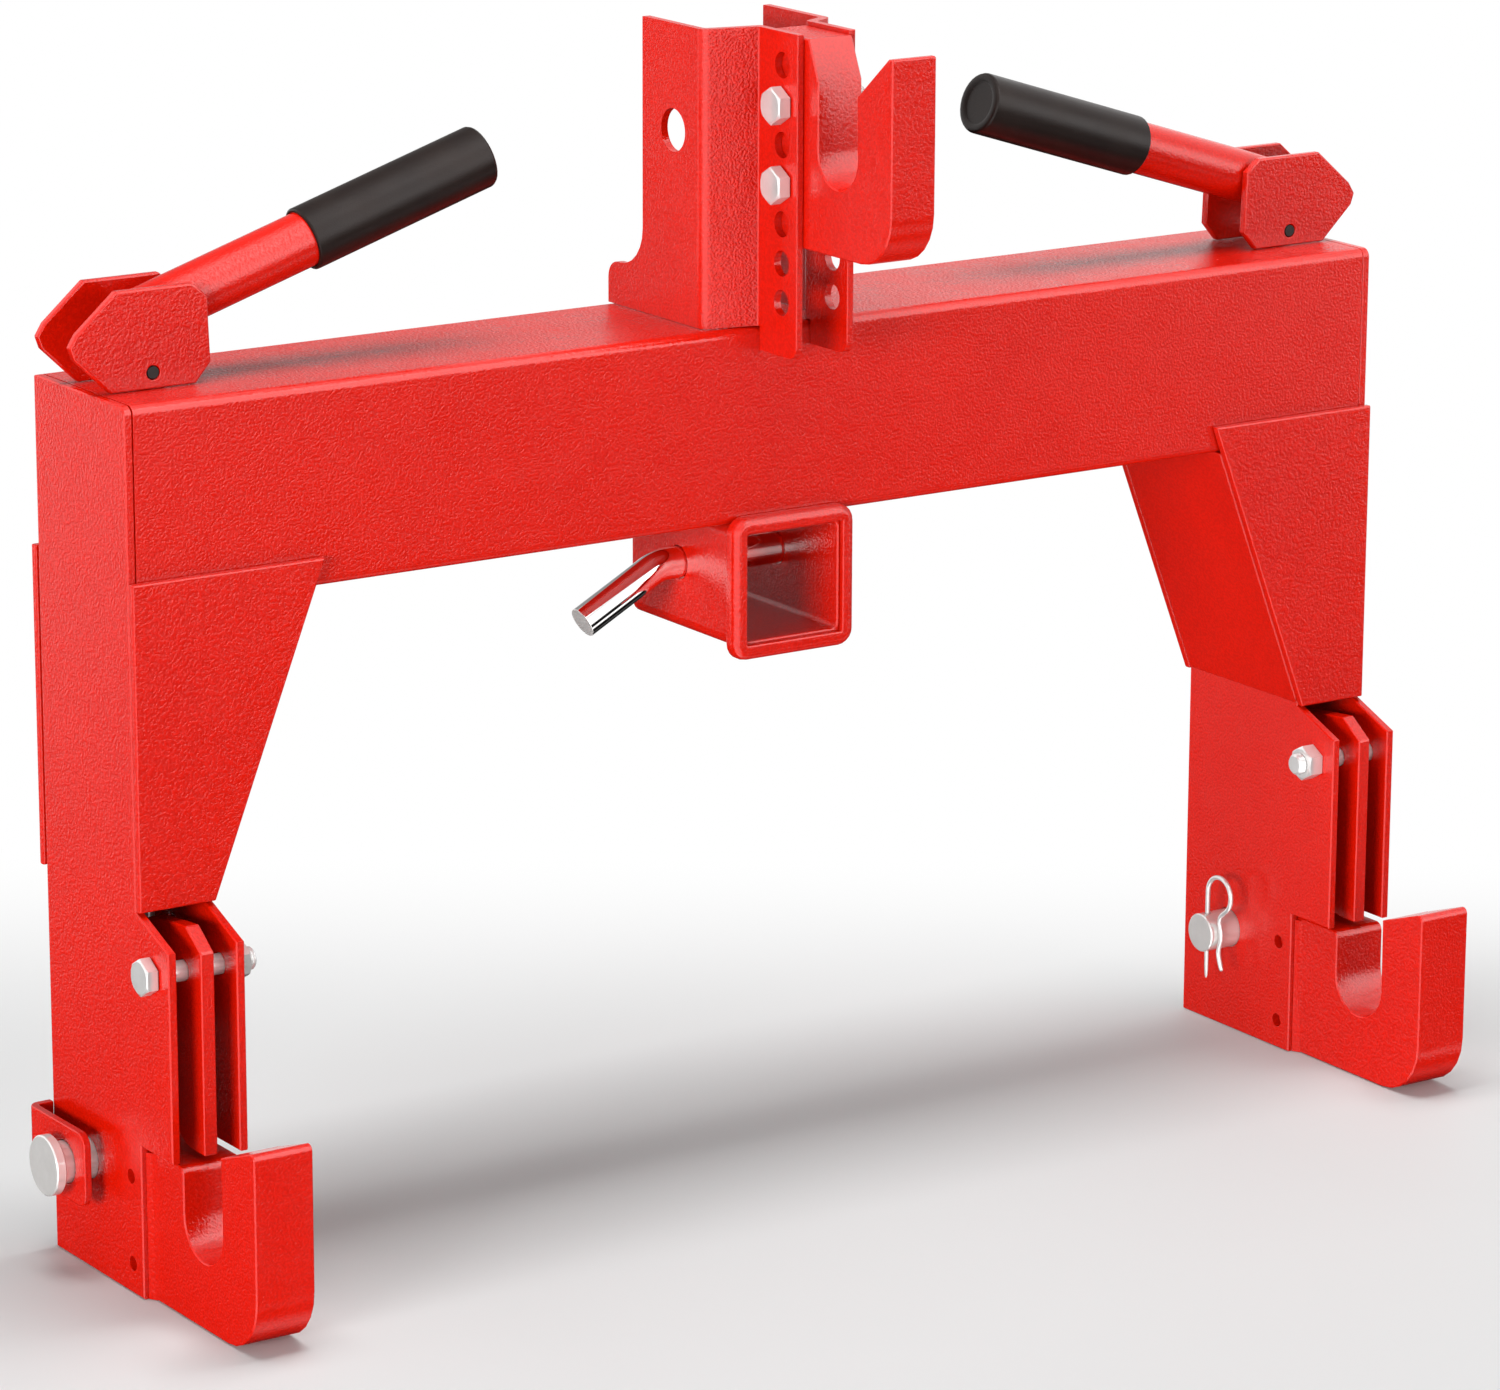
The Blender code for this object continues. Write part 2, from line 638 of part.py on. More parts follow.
def build_latch(label, side):
    """The latch bar, a bell crank that turns on the latch bolt."""
    rear = -LATCH_FRONT + LATCH_DEPTH
    arm_end = LATCH_ARM_HALF
    outline = rounded([
        (-LATCH_FRONT, LATCH_BOTTOM, 0.0010),
        (-LATCH_FRONT, LATCH_HEAD_TOP - LATCH_HEAD_CUT, 0.0020),
        (-LATCH_FRONT + 0.0140, LATCH_HEAD_TOP, 0.0020),
        (0.0150, LATCH_HEAD_TOP - LATCH_HEAD_FALL, 0.0040),
        (ROD_DEPTH + arm_end, STUB_Z + arm_end, 0.0080),
        (ROD_DEPTH + arm_end, STUB_Z - arm_end, 0.0080),
        (0.0120, STUB_Z - arm_end, 0.0100),
        (rear, LATCH_BOLT_HEIGHT - LATCH_ARM_DROP, 0.0100),
        (rear, LATCH_BOTTOM, LATCH_CORNER),
    ], 5)
    hole = circle((LATCH_BOLT_DEPTH, LATCH_BOLT_HEIGHT), LATCH_BOLT_RADIUS + BORE_FIT, 20)
    inner_face = LEG_X - LATCH_THICK / 2
    bar = prism(outline, "X", inner_face, LEG_X + LATCH_THICK / 2, holes=[hole], edge=EDGE)
    stub_end = PIVOT_X - ROD_FLAT_THICK / 2 - FIT
    stub = lathe(rod_profile(stub_end, LEG_X, LATCH_STUB_RADIUS, FIT), "X", (ROD_DEPTH, STUB_Z), 16)
    bar = combine(bar, stub, "UNION")
    axis = (LEG_X, LATCH_BOLT_DEPTH, LATCH_BOLT_HEIGHT)
    add_piece(f"{label}_latch_bar", bar, "red", side, axis)


def build_latch_bolt(label, side):
    """The latch bolt, head outside the leg, and its nut inside."""
    center = (LATCH_BOLT_DEPTH, LATCH_BOLT_HEIGHT)
    nut_low = LEG_INNER - FIT - HEX_NUT
    piece = bolt(center, LATCH_BOLT_RADIUS, nut_low - BOLT_END, LEG_OUTER + FIT, HEX_HEAD)
    add_piece(f"{label}_latch_bolt", piece, "zinc", side, smooth=True)
    piece = nut(center, LATCH_BOLT_RADIUS, nut_low, LEG_INNER - FIT)
    add_piece(f"{label}_latch_nut", piece, "zinc", side)


def build_pull_rod(label, side):
    """The rod from the handle pin down through the beam to the latch."""
    eye_half = EAR_INSIDE - FIT
    eye = prism(circle((PIVOT_X, PIVOT_Z), ROD_EYE_RADIUS, 28), "Y", ROD_DEPTH - eye_half, ROD_DEPTH + eye_half,
                holes=[circle((PIVOT_X, PIVOT_Z), PIVOT_RADIUS + BORE_FIT, 20)])
    center = (PIVOT_X, ROD_DEPTH)
    slot_top = STUB_Z + ROD_SLOT_WIDTH / 2
    slot_low = STUB_Z - ROD_SLOT_TRAVEL
    flat_top = slot_top + ROD_SLOT_WIDTH
    collar_low = BEAM_BOTTOM + BEAM_WALL + ROD_COLLAR_LIFT
    shank = lathe([
        (flat_top - 0.0050, 0.0),
        (flat_top - 0.0050, ROD_RADIUS),
        (collar_low, ROD_RADIUS),
        (collar_low, ROD_COLLAR_RADIUS),
        (collar_low + ROD_COLLAR_THICK, ROD_COLLAR_RADIUS),
        (collar_low + ROD_COLLAR_THICK, ROD_RADIUS),
        (PIVOT_Z - PIVOT_RADIUS - 0.0020, ROD_RADIUS),
        (PIVOT_Z - PIVOT_RADIUS - 0.0020, 0.0),
    ], "Z", center)
    half = ROD_FLAT_WIDTH / 2
    slot = rounded([
        (ROD_DEPTH - ROD_SLOT_WIDTH / 2, slot_low, 0.0040), (ROD_DEPTH + ROD_SLOT_WIDTH / 2, slot_low, 0.0040),
        (ROD_DEPTH + ROD_SLOT_WIDTH / 2, slot_top, 0.0040), (ROD_DEPTH - ROD_SLOT_WIDTH / 2, slot_top, 0.0040),
    ], 4)
    flat_low = slot_low - ROD_SLOT_WIDTH / 2
    flat = prism([
        (ROD_DEPTH - half, flat_low), (ROD_DEPTH + half, flat_low),
        (ROD_DEPTH + half, flat_top), (ROD_DEPTH - half, flat_top),
    ], "X", PIVOT_X - ROD_FLAT_THICK / 2, PIVOT_X + ROD_FLAT_THICK / 2, holes=[slot])
    rod = combine(combine(eye, shank, "UNION"), flat, "UNION")
    add_piece(f"{label}_pull_rod", rod, "zinc", side, (PIVOT_X, ROD_DEPTH, PIVOT_Z), smooth=True)


def build_return_spring(label, side):
    """The spring in the beam that presses the pull rod down."""
    low = BEAM_BOTTOM + BEAM_WALL + ROD_COLLAR_LIFT + ROD_COLLAR_THICK + FIT + SPRING_WIRE
    high = BEAM_TOP - BEAM_WALL - FIT - SPRING_WIRE
    steps = SPRING_TURNS * 14
    path = []
    for step in range(steps + 1):
        angle = 2 * math.pi * SPRING_TURNS * step / steps
        path.append((
            PIVOT_X + SPRING_RADIUS * math.cos(angle),
            ROD_DEPTH + SPRING_RADIUS * math.sin(angle),
            low + (high - low) * step / steps,
        ))
    coil = sweep(path, SPRING_WIRE, sides=6, up=Vector((0.0, 0.0, 1.0)))
    add_piece(f"{label}_return_spring", coil, "spring", side, (PIVOT_X, ROD_DEPTH, PIVOT_Z), smooth=True)


def handle_point(along):
    """A point on the handle's axis, at a distance from the foot of the handle pin."""
    return Vector((
        PIVOT_X - along * math.cos(HANDLE_TILT), ROD_DEPTH,
        PIVOT_Z + HANDLE_RISE + along * math.sin(HANDLE_TILT),
    ))


def along_handle(bm):
    """Turn a mesh made along +X from the origin so that it lies along the handle."""
    turn = Matrix.Rotation(math.pi + HANDLE_TILT, 4, "Y")
    bm.transform(Matrix.Translation(handle_point(0.0)) @ turn)
    return settle(bm)


def build_handle(label, side):
    """The two cam ears, the tube, the grip and the pin of one handle."""
    pivot = (PIVOT_X, ROD_DEPTH, PIVOT_Z)
    bottom = BEAM_TOP + FIT
    top = bottom + EAR_HEIGHT
    nose = bottom + EAR_NOSE_HEIGHT
    outline = [
        (PIVOT_X - EAR_INNER, bottom + 0.0092), (PIVOT_X - EAR_INNER_FLAT, bottom),
        (PIVOT_X + EAR_OUTER_FLAT, bottom), (PIVOT_X + EAR_NOSE - 0.0020, nose - 0.0058),
        (PIVOT_X + EAR_NOSE, nose), (PIVOT_X + EAR_NOSE - 0.0036, nose + 0.0058),
        (PIVOT_X + EAR_TOP_OUTER, top), (PIVOT_X - EAR_TOP_INNER, top),
        (PIVOT_X - EAR_INNER + 0.0012, top - 0.0065),
    ]
    hole = circle((PIVOT_X, PIVOT_Z), PIVOT_RADIUS + BORE_FIT, 20)
    for word, low in (("front", ROD_DEPTH - EAR_INSIDE - EAR_PLATE), ("rear", ROD_DEPTH + EAR_INSIDE)):
        ear = prism(outline, "Y", low, low + EAR_PLATE, holes=[hole], edge=EDGE)
        add_piece(f"{label}_handle_{word}_ear", ear, "red", side, pivot)
    reach = EAR_INSIDE + EAR_PLATE
    pin = lathe(rod_profile(ROD_DEPTH - reach, ROD_DEPTH + reach, PIVOT_RADIUS, FIT), "Y",
                (PIVOT_X, PIVOT_Z), 20)
    add_piece(f"{label}_handle_pin", pin, "black", side, pivot, smooth=True)
    inner = TUBE_RADIUS - TUBE_WALL
    tube_end = GRIP_REACH - GRIP_END - FIT
    tube = along_handle(lathe([
        (0.0, inner), (0.0, TUBE_RADIUS), (tube_end, TUBE_RADIUS), (tube_end, inner),
    ], "X", (0.0, 0.0), 32))
    add_piece(f"{label}_handle_tube", tube, "red", side, pivot, smooth=True)
    bore = TUBE_RADIUS + FIT
    start = GRIP_REACH - GRIP_LENGTH
    grip = along_handle(lathe([
        (GRIP_REACH - GRIP_END, 0.0), (GRIP_REACH - GRIP_END, bore), (start, bore),
        (start, GRIP_RADIUS - 0.0010), (start + 0.0010, GRIP_RADIUS),
        (GRIP_REACH - 0.0018, GRIP_RADIUS), (GRIP_REACH - 0.0006, GRIP_RADIUS - 0.0006),
        (GRIP_REACH, GRIP_RADIUS - 0.0018), (GRIP_REACH, 0.0),
    ], "X", (0.0, 0.0), 32))
    add_piece(f"{label}_handle_grip", grip, "black", side, pivot, smooth=True)


def build_hitch_pin(label, side):
    """The lower hitch pin, the bracket that shields its head and its spring clip."""
    center = (HITCH_PIN_DEPTH, HITCH_PIN_HEIGHT)
    head_low = HEAD_OUTER - HITCH_PIN_HEAD_THICK
    pin = lathe([
        (PIN_END, 0.0), (PIN_END, HITCH_PIN_RADIUS - EDGE), (PIN_END + EDGE, HITCH_PIN_RADIUS),
        (head_low, HITCH_PIN_RADIUS), (head_low, HITCH_PIN_HEAD - EDGE), (head_low + EDGE, HITCH_PIN_HEAD),
        (HEAD_OUTER - EDGE, HITCH_PIN_HEAD), (HEAD_OUTER, HITCH_PIN_HEAD - EDGE), (HEAD_OUTER, 0.0),
    ], "X", center, 40)
    clip_x = PIN_END + CLIP_FROM_END
    drill = prism(circle((clip_x, HITCH_PIN_DEPTH), CLIP_WIRE + BORE_FIT, 12), "Z",
                  HITCH_PIN_HEIGHT - 2 * HITCH_PIN_RADIUS, HITCH_PIN_HEIGHT + 2 * HITCH_PIN_RADIUS)
    pin = combine(pin, drill, "DIFFERENCE")
    axis = (LEG_X, *center)
    add_piece(f"{label}_hitch_pin", pin, "chrome", side, axis, smooth=True)

    low = BRACKET_OUTER - BRACKET_PLATE
    bend = BRACKET_PLATE + 0.0015
    section = rounded([
        (LEG_OUTER + FIT, BEAM_DEPTH, 0.0), (LEG_OUTER + FIT, BEAM_DEPTH - BRACKET_PLATE, 0.0),
        (low, BEAM_DEPTH - BRACKET_PLATE, bend - BRACKET_PLATE), (low, BRACKET_FRONT, 0.0),
        (BRACKET_OUTER, BRACKET_FRONT, 0.0), (BRACKET_OUTER, BEAM_DEPTH, bend),
    ], 4)
    plan = prism(section, "Z", BRACKET_BOTTOM - EDGE, BRACKET_TOP + EDGE)
    shape = rounded([
        (BRACKET_FRONT, BRACKET_BOTTOM, BRACKET_ROUND), (BEAM_DEPTH + EDGE, BRACKET_BOTTOM, 0.0),
        (BEAM_DEPTH + EDGE, BRACKET_TOP, 0.0), (BRACKET_FRONT, BRACKET_TOP, BRACKET_ROUND),
    ], 5)
    hole = circle(center, HITCH_PIN_RADIUS + BORE_FIT, 32)
    side_view = prism(shape, "X", LEG_OUTER, BRACKET_OUTER + EDGE, holes=[hole])
    add_piece(f"{label}_pin_bracket", combine(plan, side_view, "INTERSECT"), "red", side)

    touch = HITCH_PIN_RADIUS + CLIP_WIRE + BORE_FIT
    loop_radius = 0.0098
    loop = (HITCH_PIN_DEPTH - loop_radius, HITCH_PIN_HEIGHT + 0.0222)
    path = [(HITCH_PIN_DEPTH, HITCH_PIN_HEIGHT - 0.0262), (HITCH_PIN_DEPTH, HITCH_PIN_HEIGHT)]
    path += arc(loop, loop_radius, 0.0, 222.0, 18)
    path += [(HITCH_PIN_DEPTH - 0.0100, HITCH_PIN_HEIGHT + 0.0105)]
    path += arc(center, touch, 152.0, 208.0, 6)
    path += [(HITCH_PIN_DEPTH - 0.0096, HITCH_PIN_HEIGHT - 0.0102),
             (HITCH_PIN_DEPTH - 0.0132, HITCH_PIN_HEIGHT - 0.0190)]
    wire = sweep([(clip_x, y, z) for y, z in path], CLIP_WIRE, sides=8, up=Vector((1.0, 0.0, 0.0)))
    add_piece(f"{label}_hitch_pin_clip", wire, "zinc", side, axis, smooth=True)


def build_receiver():
    """The square receiver tube under the beam, its mouth collar and its bent pin."""
    half = RECEIVER_OUTER / 2
    inside = half - RECEIVER_WALL
    mouth = -COLLAR_FRONT + COLLAR_LIP + FIT
    tube = square_ring([
        (half, mouth), (half, RECEIVER_REAR), (inside, RECEIVER_REAR), (inside, mouth),
    ], RECEIVER_Z, RECEIVER_ROUND, half)
    drill = prism(circle((RECEIVER_PIN_DEPTH, RECEIVER_PIN_Z), RECEIVER_PIN_RADIUS + BORE_FIT, 28), "X",
                  -RECEIVER_OUTER, RECEIVER_OUTER)
    tube = combine(tube, drill, "DIFFERENCE")
    add_piece("receiver_tube", tube, "red", smooth=True)

    outer = COLLAR_OUTER / 2
    lip = RECEIVER_MOUTH / 2
    bore = half + FIT
    profile = [(bore, -FIT), (outer, -FIT)]
    profile += [(outer - COLLAR_ROUND + a, b) for a, b in
                arc((0.0, -COLLAR_FRONT + COLLAR_ROUND), COLLAR_ROUND, 0.0, -90.0, 4)]
    profile += [(lip + EDGE, -COLLAR_FRONT), (lip, -COLLAR_FRONT + EDGE)]
    profile += [(lip, -COLLAR_FRONT + COLLAR_LIP), (bore, -COLLAR_FRONT + COLLAR_LIP)]
    collar = square_ring(profile, RECEIVER_Z, COLLAR_CORNER, outer)
    add_piece("receiver_collar", collar, "red", smooth=True)

    start = -half - RECEIVER_PIN_CLEAR
    path = [(half + RECEIVER_PIN_OUT, RECEIVER_PIN_Z), (start, RECEIVER_PIN_Z)]
    center = (start, RECEIVER_PIN_Z - RECEIVER_PIN_BEND_RADIUS)
    bend = math.degrees(RECEIVER_PIN_BEND)
    path += arc(center, RECEIVER_PIN_BEND_RADIUS, 90.0, 90.0 + bend, 6)[1:]
    end = path[-1]
    path.append((end[0] - RECEIVER_PIN_LEG * math.cos(RECEIVER_PIN_BEND),
                 end[1] - RECEIVER_PIN_LEG * math.sin(RECEIVER_PIN_BEND)))
    pin = sweep([(x, RECEIVER_PIN_DEPTH, z) for x, z in path], RECEIVER_PIN_RADIUS, sides=28)
    drill = prism(circle((half + RECEIVER_PIN_OUT / 2, RECEIVER_PIN_DEPTH), CLIP_WIRE + BORE_FIT, 12), "Z",
                  RECEIVER_PIN_Z - 2 * RECEIVER_PIN_RADIUS, RECEIVER_PIN_Z + 2 * RECEIVER_PIN_RADIUS)
    pin = combine(pin, drill, "DIFFERENCE")
    add_piece("receiver_pin", pin, "chrome", origin=(0.0, RECEIVER_PIN_DEPTH, RECEIVER_PIN_Z),
              smooth=True)


def row_height(number):
    """Height of a hole in the row of seven, counted from the top."""
    return ROW_TOP - ROW_PITCH * number


def build_tower_plate(label, side):
    """One joggled tower plate: rear cheek, slanted web and front flange."""
    web_low = TOWER_WEB_FRONT
    web_high = TOWER_WEB_FRONT + TOWER_WEB_SLANT
    cheek = TOWER_CHEEKS[label]
    inside = cheek - TOWER_PLATE
    flange_in = FLANGE_OUTER - TOWER_PLATE
    section = rounded([
        (cheek, BEAM_DEPTH + EDGE, 0.0),
        (cheek, web_high, TOWER_BEND),
        (FLANGE_OUTER, web_low, 0.0010),
        (FLANGE_OUTER, -TOWER_FLANGE, EDGE),
        (flange_in, -TOWER_FLANGE, EDGE),
        (flange_in, web_low + TOWER_PLATE, 0.0020),
        (inside, web_high + TOWER_PLATE, TOWER_BEND - TOWER_PLATE),
        (inside, BEAM_DEPTH + EDGE, 0.0),
    ], 4)
    plan = prism(section, "Z", TOWER_BOTTOM - EDGE, TOWER_TOP + EDGE)
    foot = BEAM_TOP + FIT
    neck = foot + TOWER_FOOT_NECK
    shape = rounded([
        (-TOWER_FLANGE, TOWER_BOTTOM, 0.0060),
        (-FIT, TOWER_BOTTOM, 0.0),
        (-FIT, foot, 0.0),
        (BEAM_DEPTH, foot, 0.0),
        (BEAM_DEPTH, foot + TOWER_FOOT, 0.0085),
        (TOWER_REAR, neck - 0.0230, 0.0200),
        (TOWER_REAR, TOWER_TOP, EDGE),
        (-TOWER_FLANGE, TOWER_TOP, EDGE),
    ], 6)
    holes = [circle((LINK_HOLE_DEPTH, LINK_HOLE_HEIGHT), LINK_HOLE_RADIUS, 36)]
    for number in range(ROW_COUNT):
        holes.append(circle((ROW_DEPTH, row_height(number)), ROW_RADIUS, 24))
    side_view = prism(shape, "X", 0.0, cheek + EDGE, holes=holes)
    add_piece(f"tower_{label}_plate", combine(plan, side_view, "INTERSECT"), "red", side, smooth=True)


def build_top_hook():
    """The thick top hook between the tower flanges, its two bolts and nuts."""
    radius = TOP_SLOT_WIDTH / 2
    slot_front = -TOP_SLOT_BACK - TOP_SLOT_WIDTH
    center = (-TOP_SLOT_BACK - radius, TOP_HOOK_TOP - TOP_SLOT_DEEP + radius)
    bottom = TOP_HOOK_TOP - TOP_HOOK_HEIGHT
    tip = TOP_HOOK_TOP - 0.0010
    outline = rounded([
        (TOP_HOOK_REAR, TOP_HOOK_TOP, EDGE),
        (TOP_HOOK_REAR, bottom, EDGE),
        (-TOP_HOOK_FRONT, bottom, TOP_HOOK_CORNER),
        (-TOP_HOOK_FRONT, tip, 0.0010),
        (-TOP_HOOK_FRONT + TOP_PRONG_TIP, tip, 0.0005),
        (slot_front, tip - TOP_PRONG_DROP, 0.0010),
    ], 6)
    outline += arc(center, radius, 180.0, 360.0, 14)
    outline += [(-TOP_SLOT_BACK, TOP_HOOK_TOP - TOP_SLOT_LEAD),
                (-TOP_SLOT_BACK + TOP_SLOT_LEAD_IN, TOP_HOOK_TOP)]
    holes = [circle((ROW_DEPTH, row_height(number)), ROW_BOLT_RADIUS + BORE_FIT, 20) for number in ROW_BOLTS]
    hook = prism(outline, "X", -TOP_HOOK_THICK / 2, TOP_HOOK_THICK / 2, holes=holes, edge=EDGE)
    add_piece("top_hook", hook, "red")
    seat = FLANGE_OUTER + FIT
    for word, number in zip(("upper", "lower"), ROW_BOLTS):
        spot = (ROW_DEPTH, row_height(number))
        nut_high = seat + HEX_NUT
        piece = bolt(spot, ROW_BOLT_RADIUS, -nut_high - BOLT_END, seat, ROW_HEAD)
        add_piece(f"top_hook_{word}_bolt", piece, "zinc", side=-1, smooth=True)
        piece = nut(spot, ROW_BOLT_RADIUS, seat, nut_high)
        add_piece(f"top_hook_{word}_nut", piece, "zinc")


def main():
    """Build every piece."""
    clear_scene()
    build_crossbeam()
    for label, side in (("left", -1), ("right", 1)):
        build_leg(label, side)
        build_gussets(label, side)
        build_lower_hook(label, side)
        build_latch(label, side)
        build_latch_bolt(label, side)
        build_pull_rod(label, side)
        build_return_spring(label, side)
        build_handle(label, side)
        build_hitch_pin(label, side)
        build_tower_plate(label, side)
    build_receiver()
    build_top_hook()


if __name__ == "__main__":
    main()
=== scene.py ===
"""Looks of a three point quick hitch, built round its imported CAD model.

Metres, in the CAD model's frame: X runs along the crossbeam, the hooks point
towards -Y and +Z is up. Left is -X.
"""

from __future__ import annotations

import json
import logging
import math
from dataclasses import dataclass
from enum import Enum
from typing import Any, Callable, Iterable, Protocol

import bmesh
import bpy
from mathutils import Matrix, Vector

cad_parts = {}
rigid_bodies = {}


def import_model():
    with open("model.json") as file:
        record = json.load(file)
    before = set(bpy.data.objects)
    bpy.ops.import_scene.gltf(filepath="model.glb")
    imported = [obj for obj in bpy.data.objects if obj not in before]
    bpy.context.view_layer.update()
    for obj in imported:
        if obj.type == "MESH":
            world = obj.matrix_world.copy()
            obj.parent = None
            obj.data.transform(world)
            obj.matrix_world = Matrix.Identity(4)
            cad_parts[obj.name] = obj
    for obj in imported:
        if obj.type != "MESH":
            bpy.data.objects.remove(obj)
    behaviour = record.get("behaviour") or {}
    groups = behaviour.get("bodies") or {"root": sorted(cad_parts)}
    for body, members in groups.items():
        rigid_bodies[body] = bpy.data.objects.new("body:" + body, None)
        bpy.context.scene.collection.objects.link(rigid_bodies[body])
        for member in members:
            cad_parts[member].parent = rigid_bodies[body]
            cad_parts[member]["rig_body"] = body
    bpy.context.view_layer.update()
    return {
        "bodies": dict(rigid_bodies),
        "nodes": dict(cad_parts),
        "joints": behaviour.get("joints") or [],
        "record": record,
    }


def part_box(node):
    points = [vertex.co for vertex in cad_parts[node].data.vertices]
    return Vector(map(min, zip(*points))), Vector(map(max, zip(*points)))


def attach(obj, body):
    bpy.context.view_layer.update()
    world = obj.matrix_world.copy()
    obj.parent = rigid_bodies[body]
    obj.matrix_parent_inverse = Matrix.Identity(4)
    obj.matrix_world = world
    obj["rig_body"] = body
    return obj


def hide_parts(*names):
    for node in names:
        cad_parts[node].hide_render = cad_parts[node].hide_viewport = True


log = logging.getLogger("quick_hitch")

Color = tuple[float, float, float]
Point = tuple[float, float, float]

MERGE = 0.00002                     # vertices this close are one
FLAT = math.radians(0.3)            # faces this parallel are one
SHARP = math.radians(50.0)          # edges sharper than this stay hard
SMOOTH_EDGE = math.radians(35.0)    # edges sharper than this are rounded
CRISP = math.radians(24.0)          # for turned and threaded steel
FACING = 0.9                        # a face looks a way when its normal is this far along it
CUT = 1e-7                          # nearer to a cutting plane than this is on it
BEVEL_SEGMENTS = 2
NORMAL_WEIGHT = 60                  # how strongly large faces pull the shading of their edges


class Slot(Enum):
    """Material slots of the record."""

    RED = "red_paint"
    ZINC = "zinc_steel"
    CHROME = "chrome_steel"
    SPRING = "spring_steel"
    OXIDE = "black_steel"
    GRIP = "black_grip"


class Side(Enum):
    """The two sides of the hitch, with the sign of X there."""

    LEFT = -1
    RIGHT = 1

    @property
    def label(self) -> str:
        """The word that starts the node names of this side."""
        return self.name.lower()


# Node groups

def new_group(name: str, inputs: dict[str, tuple[str, Any]], outputs: dict[str, str]) -> bpy.types.NodeTree:
    """Make an empty node group with named sockets.

    Args:
        name: Name of the group.
        inputs: Socket name to its type and default value.
        outputs: Socket name to its type.

    Returns:
        The group, with its input and output nodes in place.
    """
    group = bpy.data.node_groups.new(name, "ShaderNodeTree")
    for label, (kind, value) in inputs.items():
        socket = group.interface.new_socket(label, in_out="INPUT", socket_type=kind)
        if value is not None:
            socket.default_value = value
    for label, kind in outputs.items():
        group.interface.new_socket(label, in_out="OUTPUT", socket_type=kind)
    group.nodes.new("NodeGroupInput").name = "in"
    group.nodes.new("NodeGroupOutput").name = "out"
    return group


def add_node(tree: bpy.types.NodeTree, kind: str,
             links: dict[Any, bpy.types.NodeSocket] | None = None,
             values: dict[Any, Any] | None = None, **settings: Any) -> bpy.types.Node:
    """Add a node, set its values and link its inputs.

    Args:
        tree: The node tree that the node goes in.
        kind: The node's type.
        links: Input name or number to the socket that feeds it.
        values: Input name or number to a plain value.
        settings: Attributes of the node.

    Returns:
        The new node.
    """
    node = tree.nodes.new(kind)
    for label, value in settings.items():
        setattr(node, label, value)
    for label, value in (values or {}).items():
        node.inputs[label].default_value = value
    for label, socket in (links or {}).items():
        tree.links.new(socket, node.inputs[label])
    return node


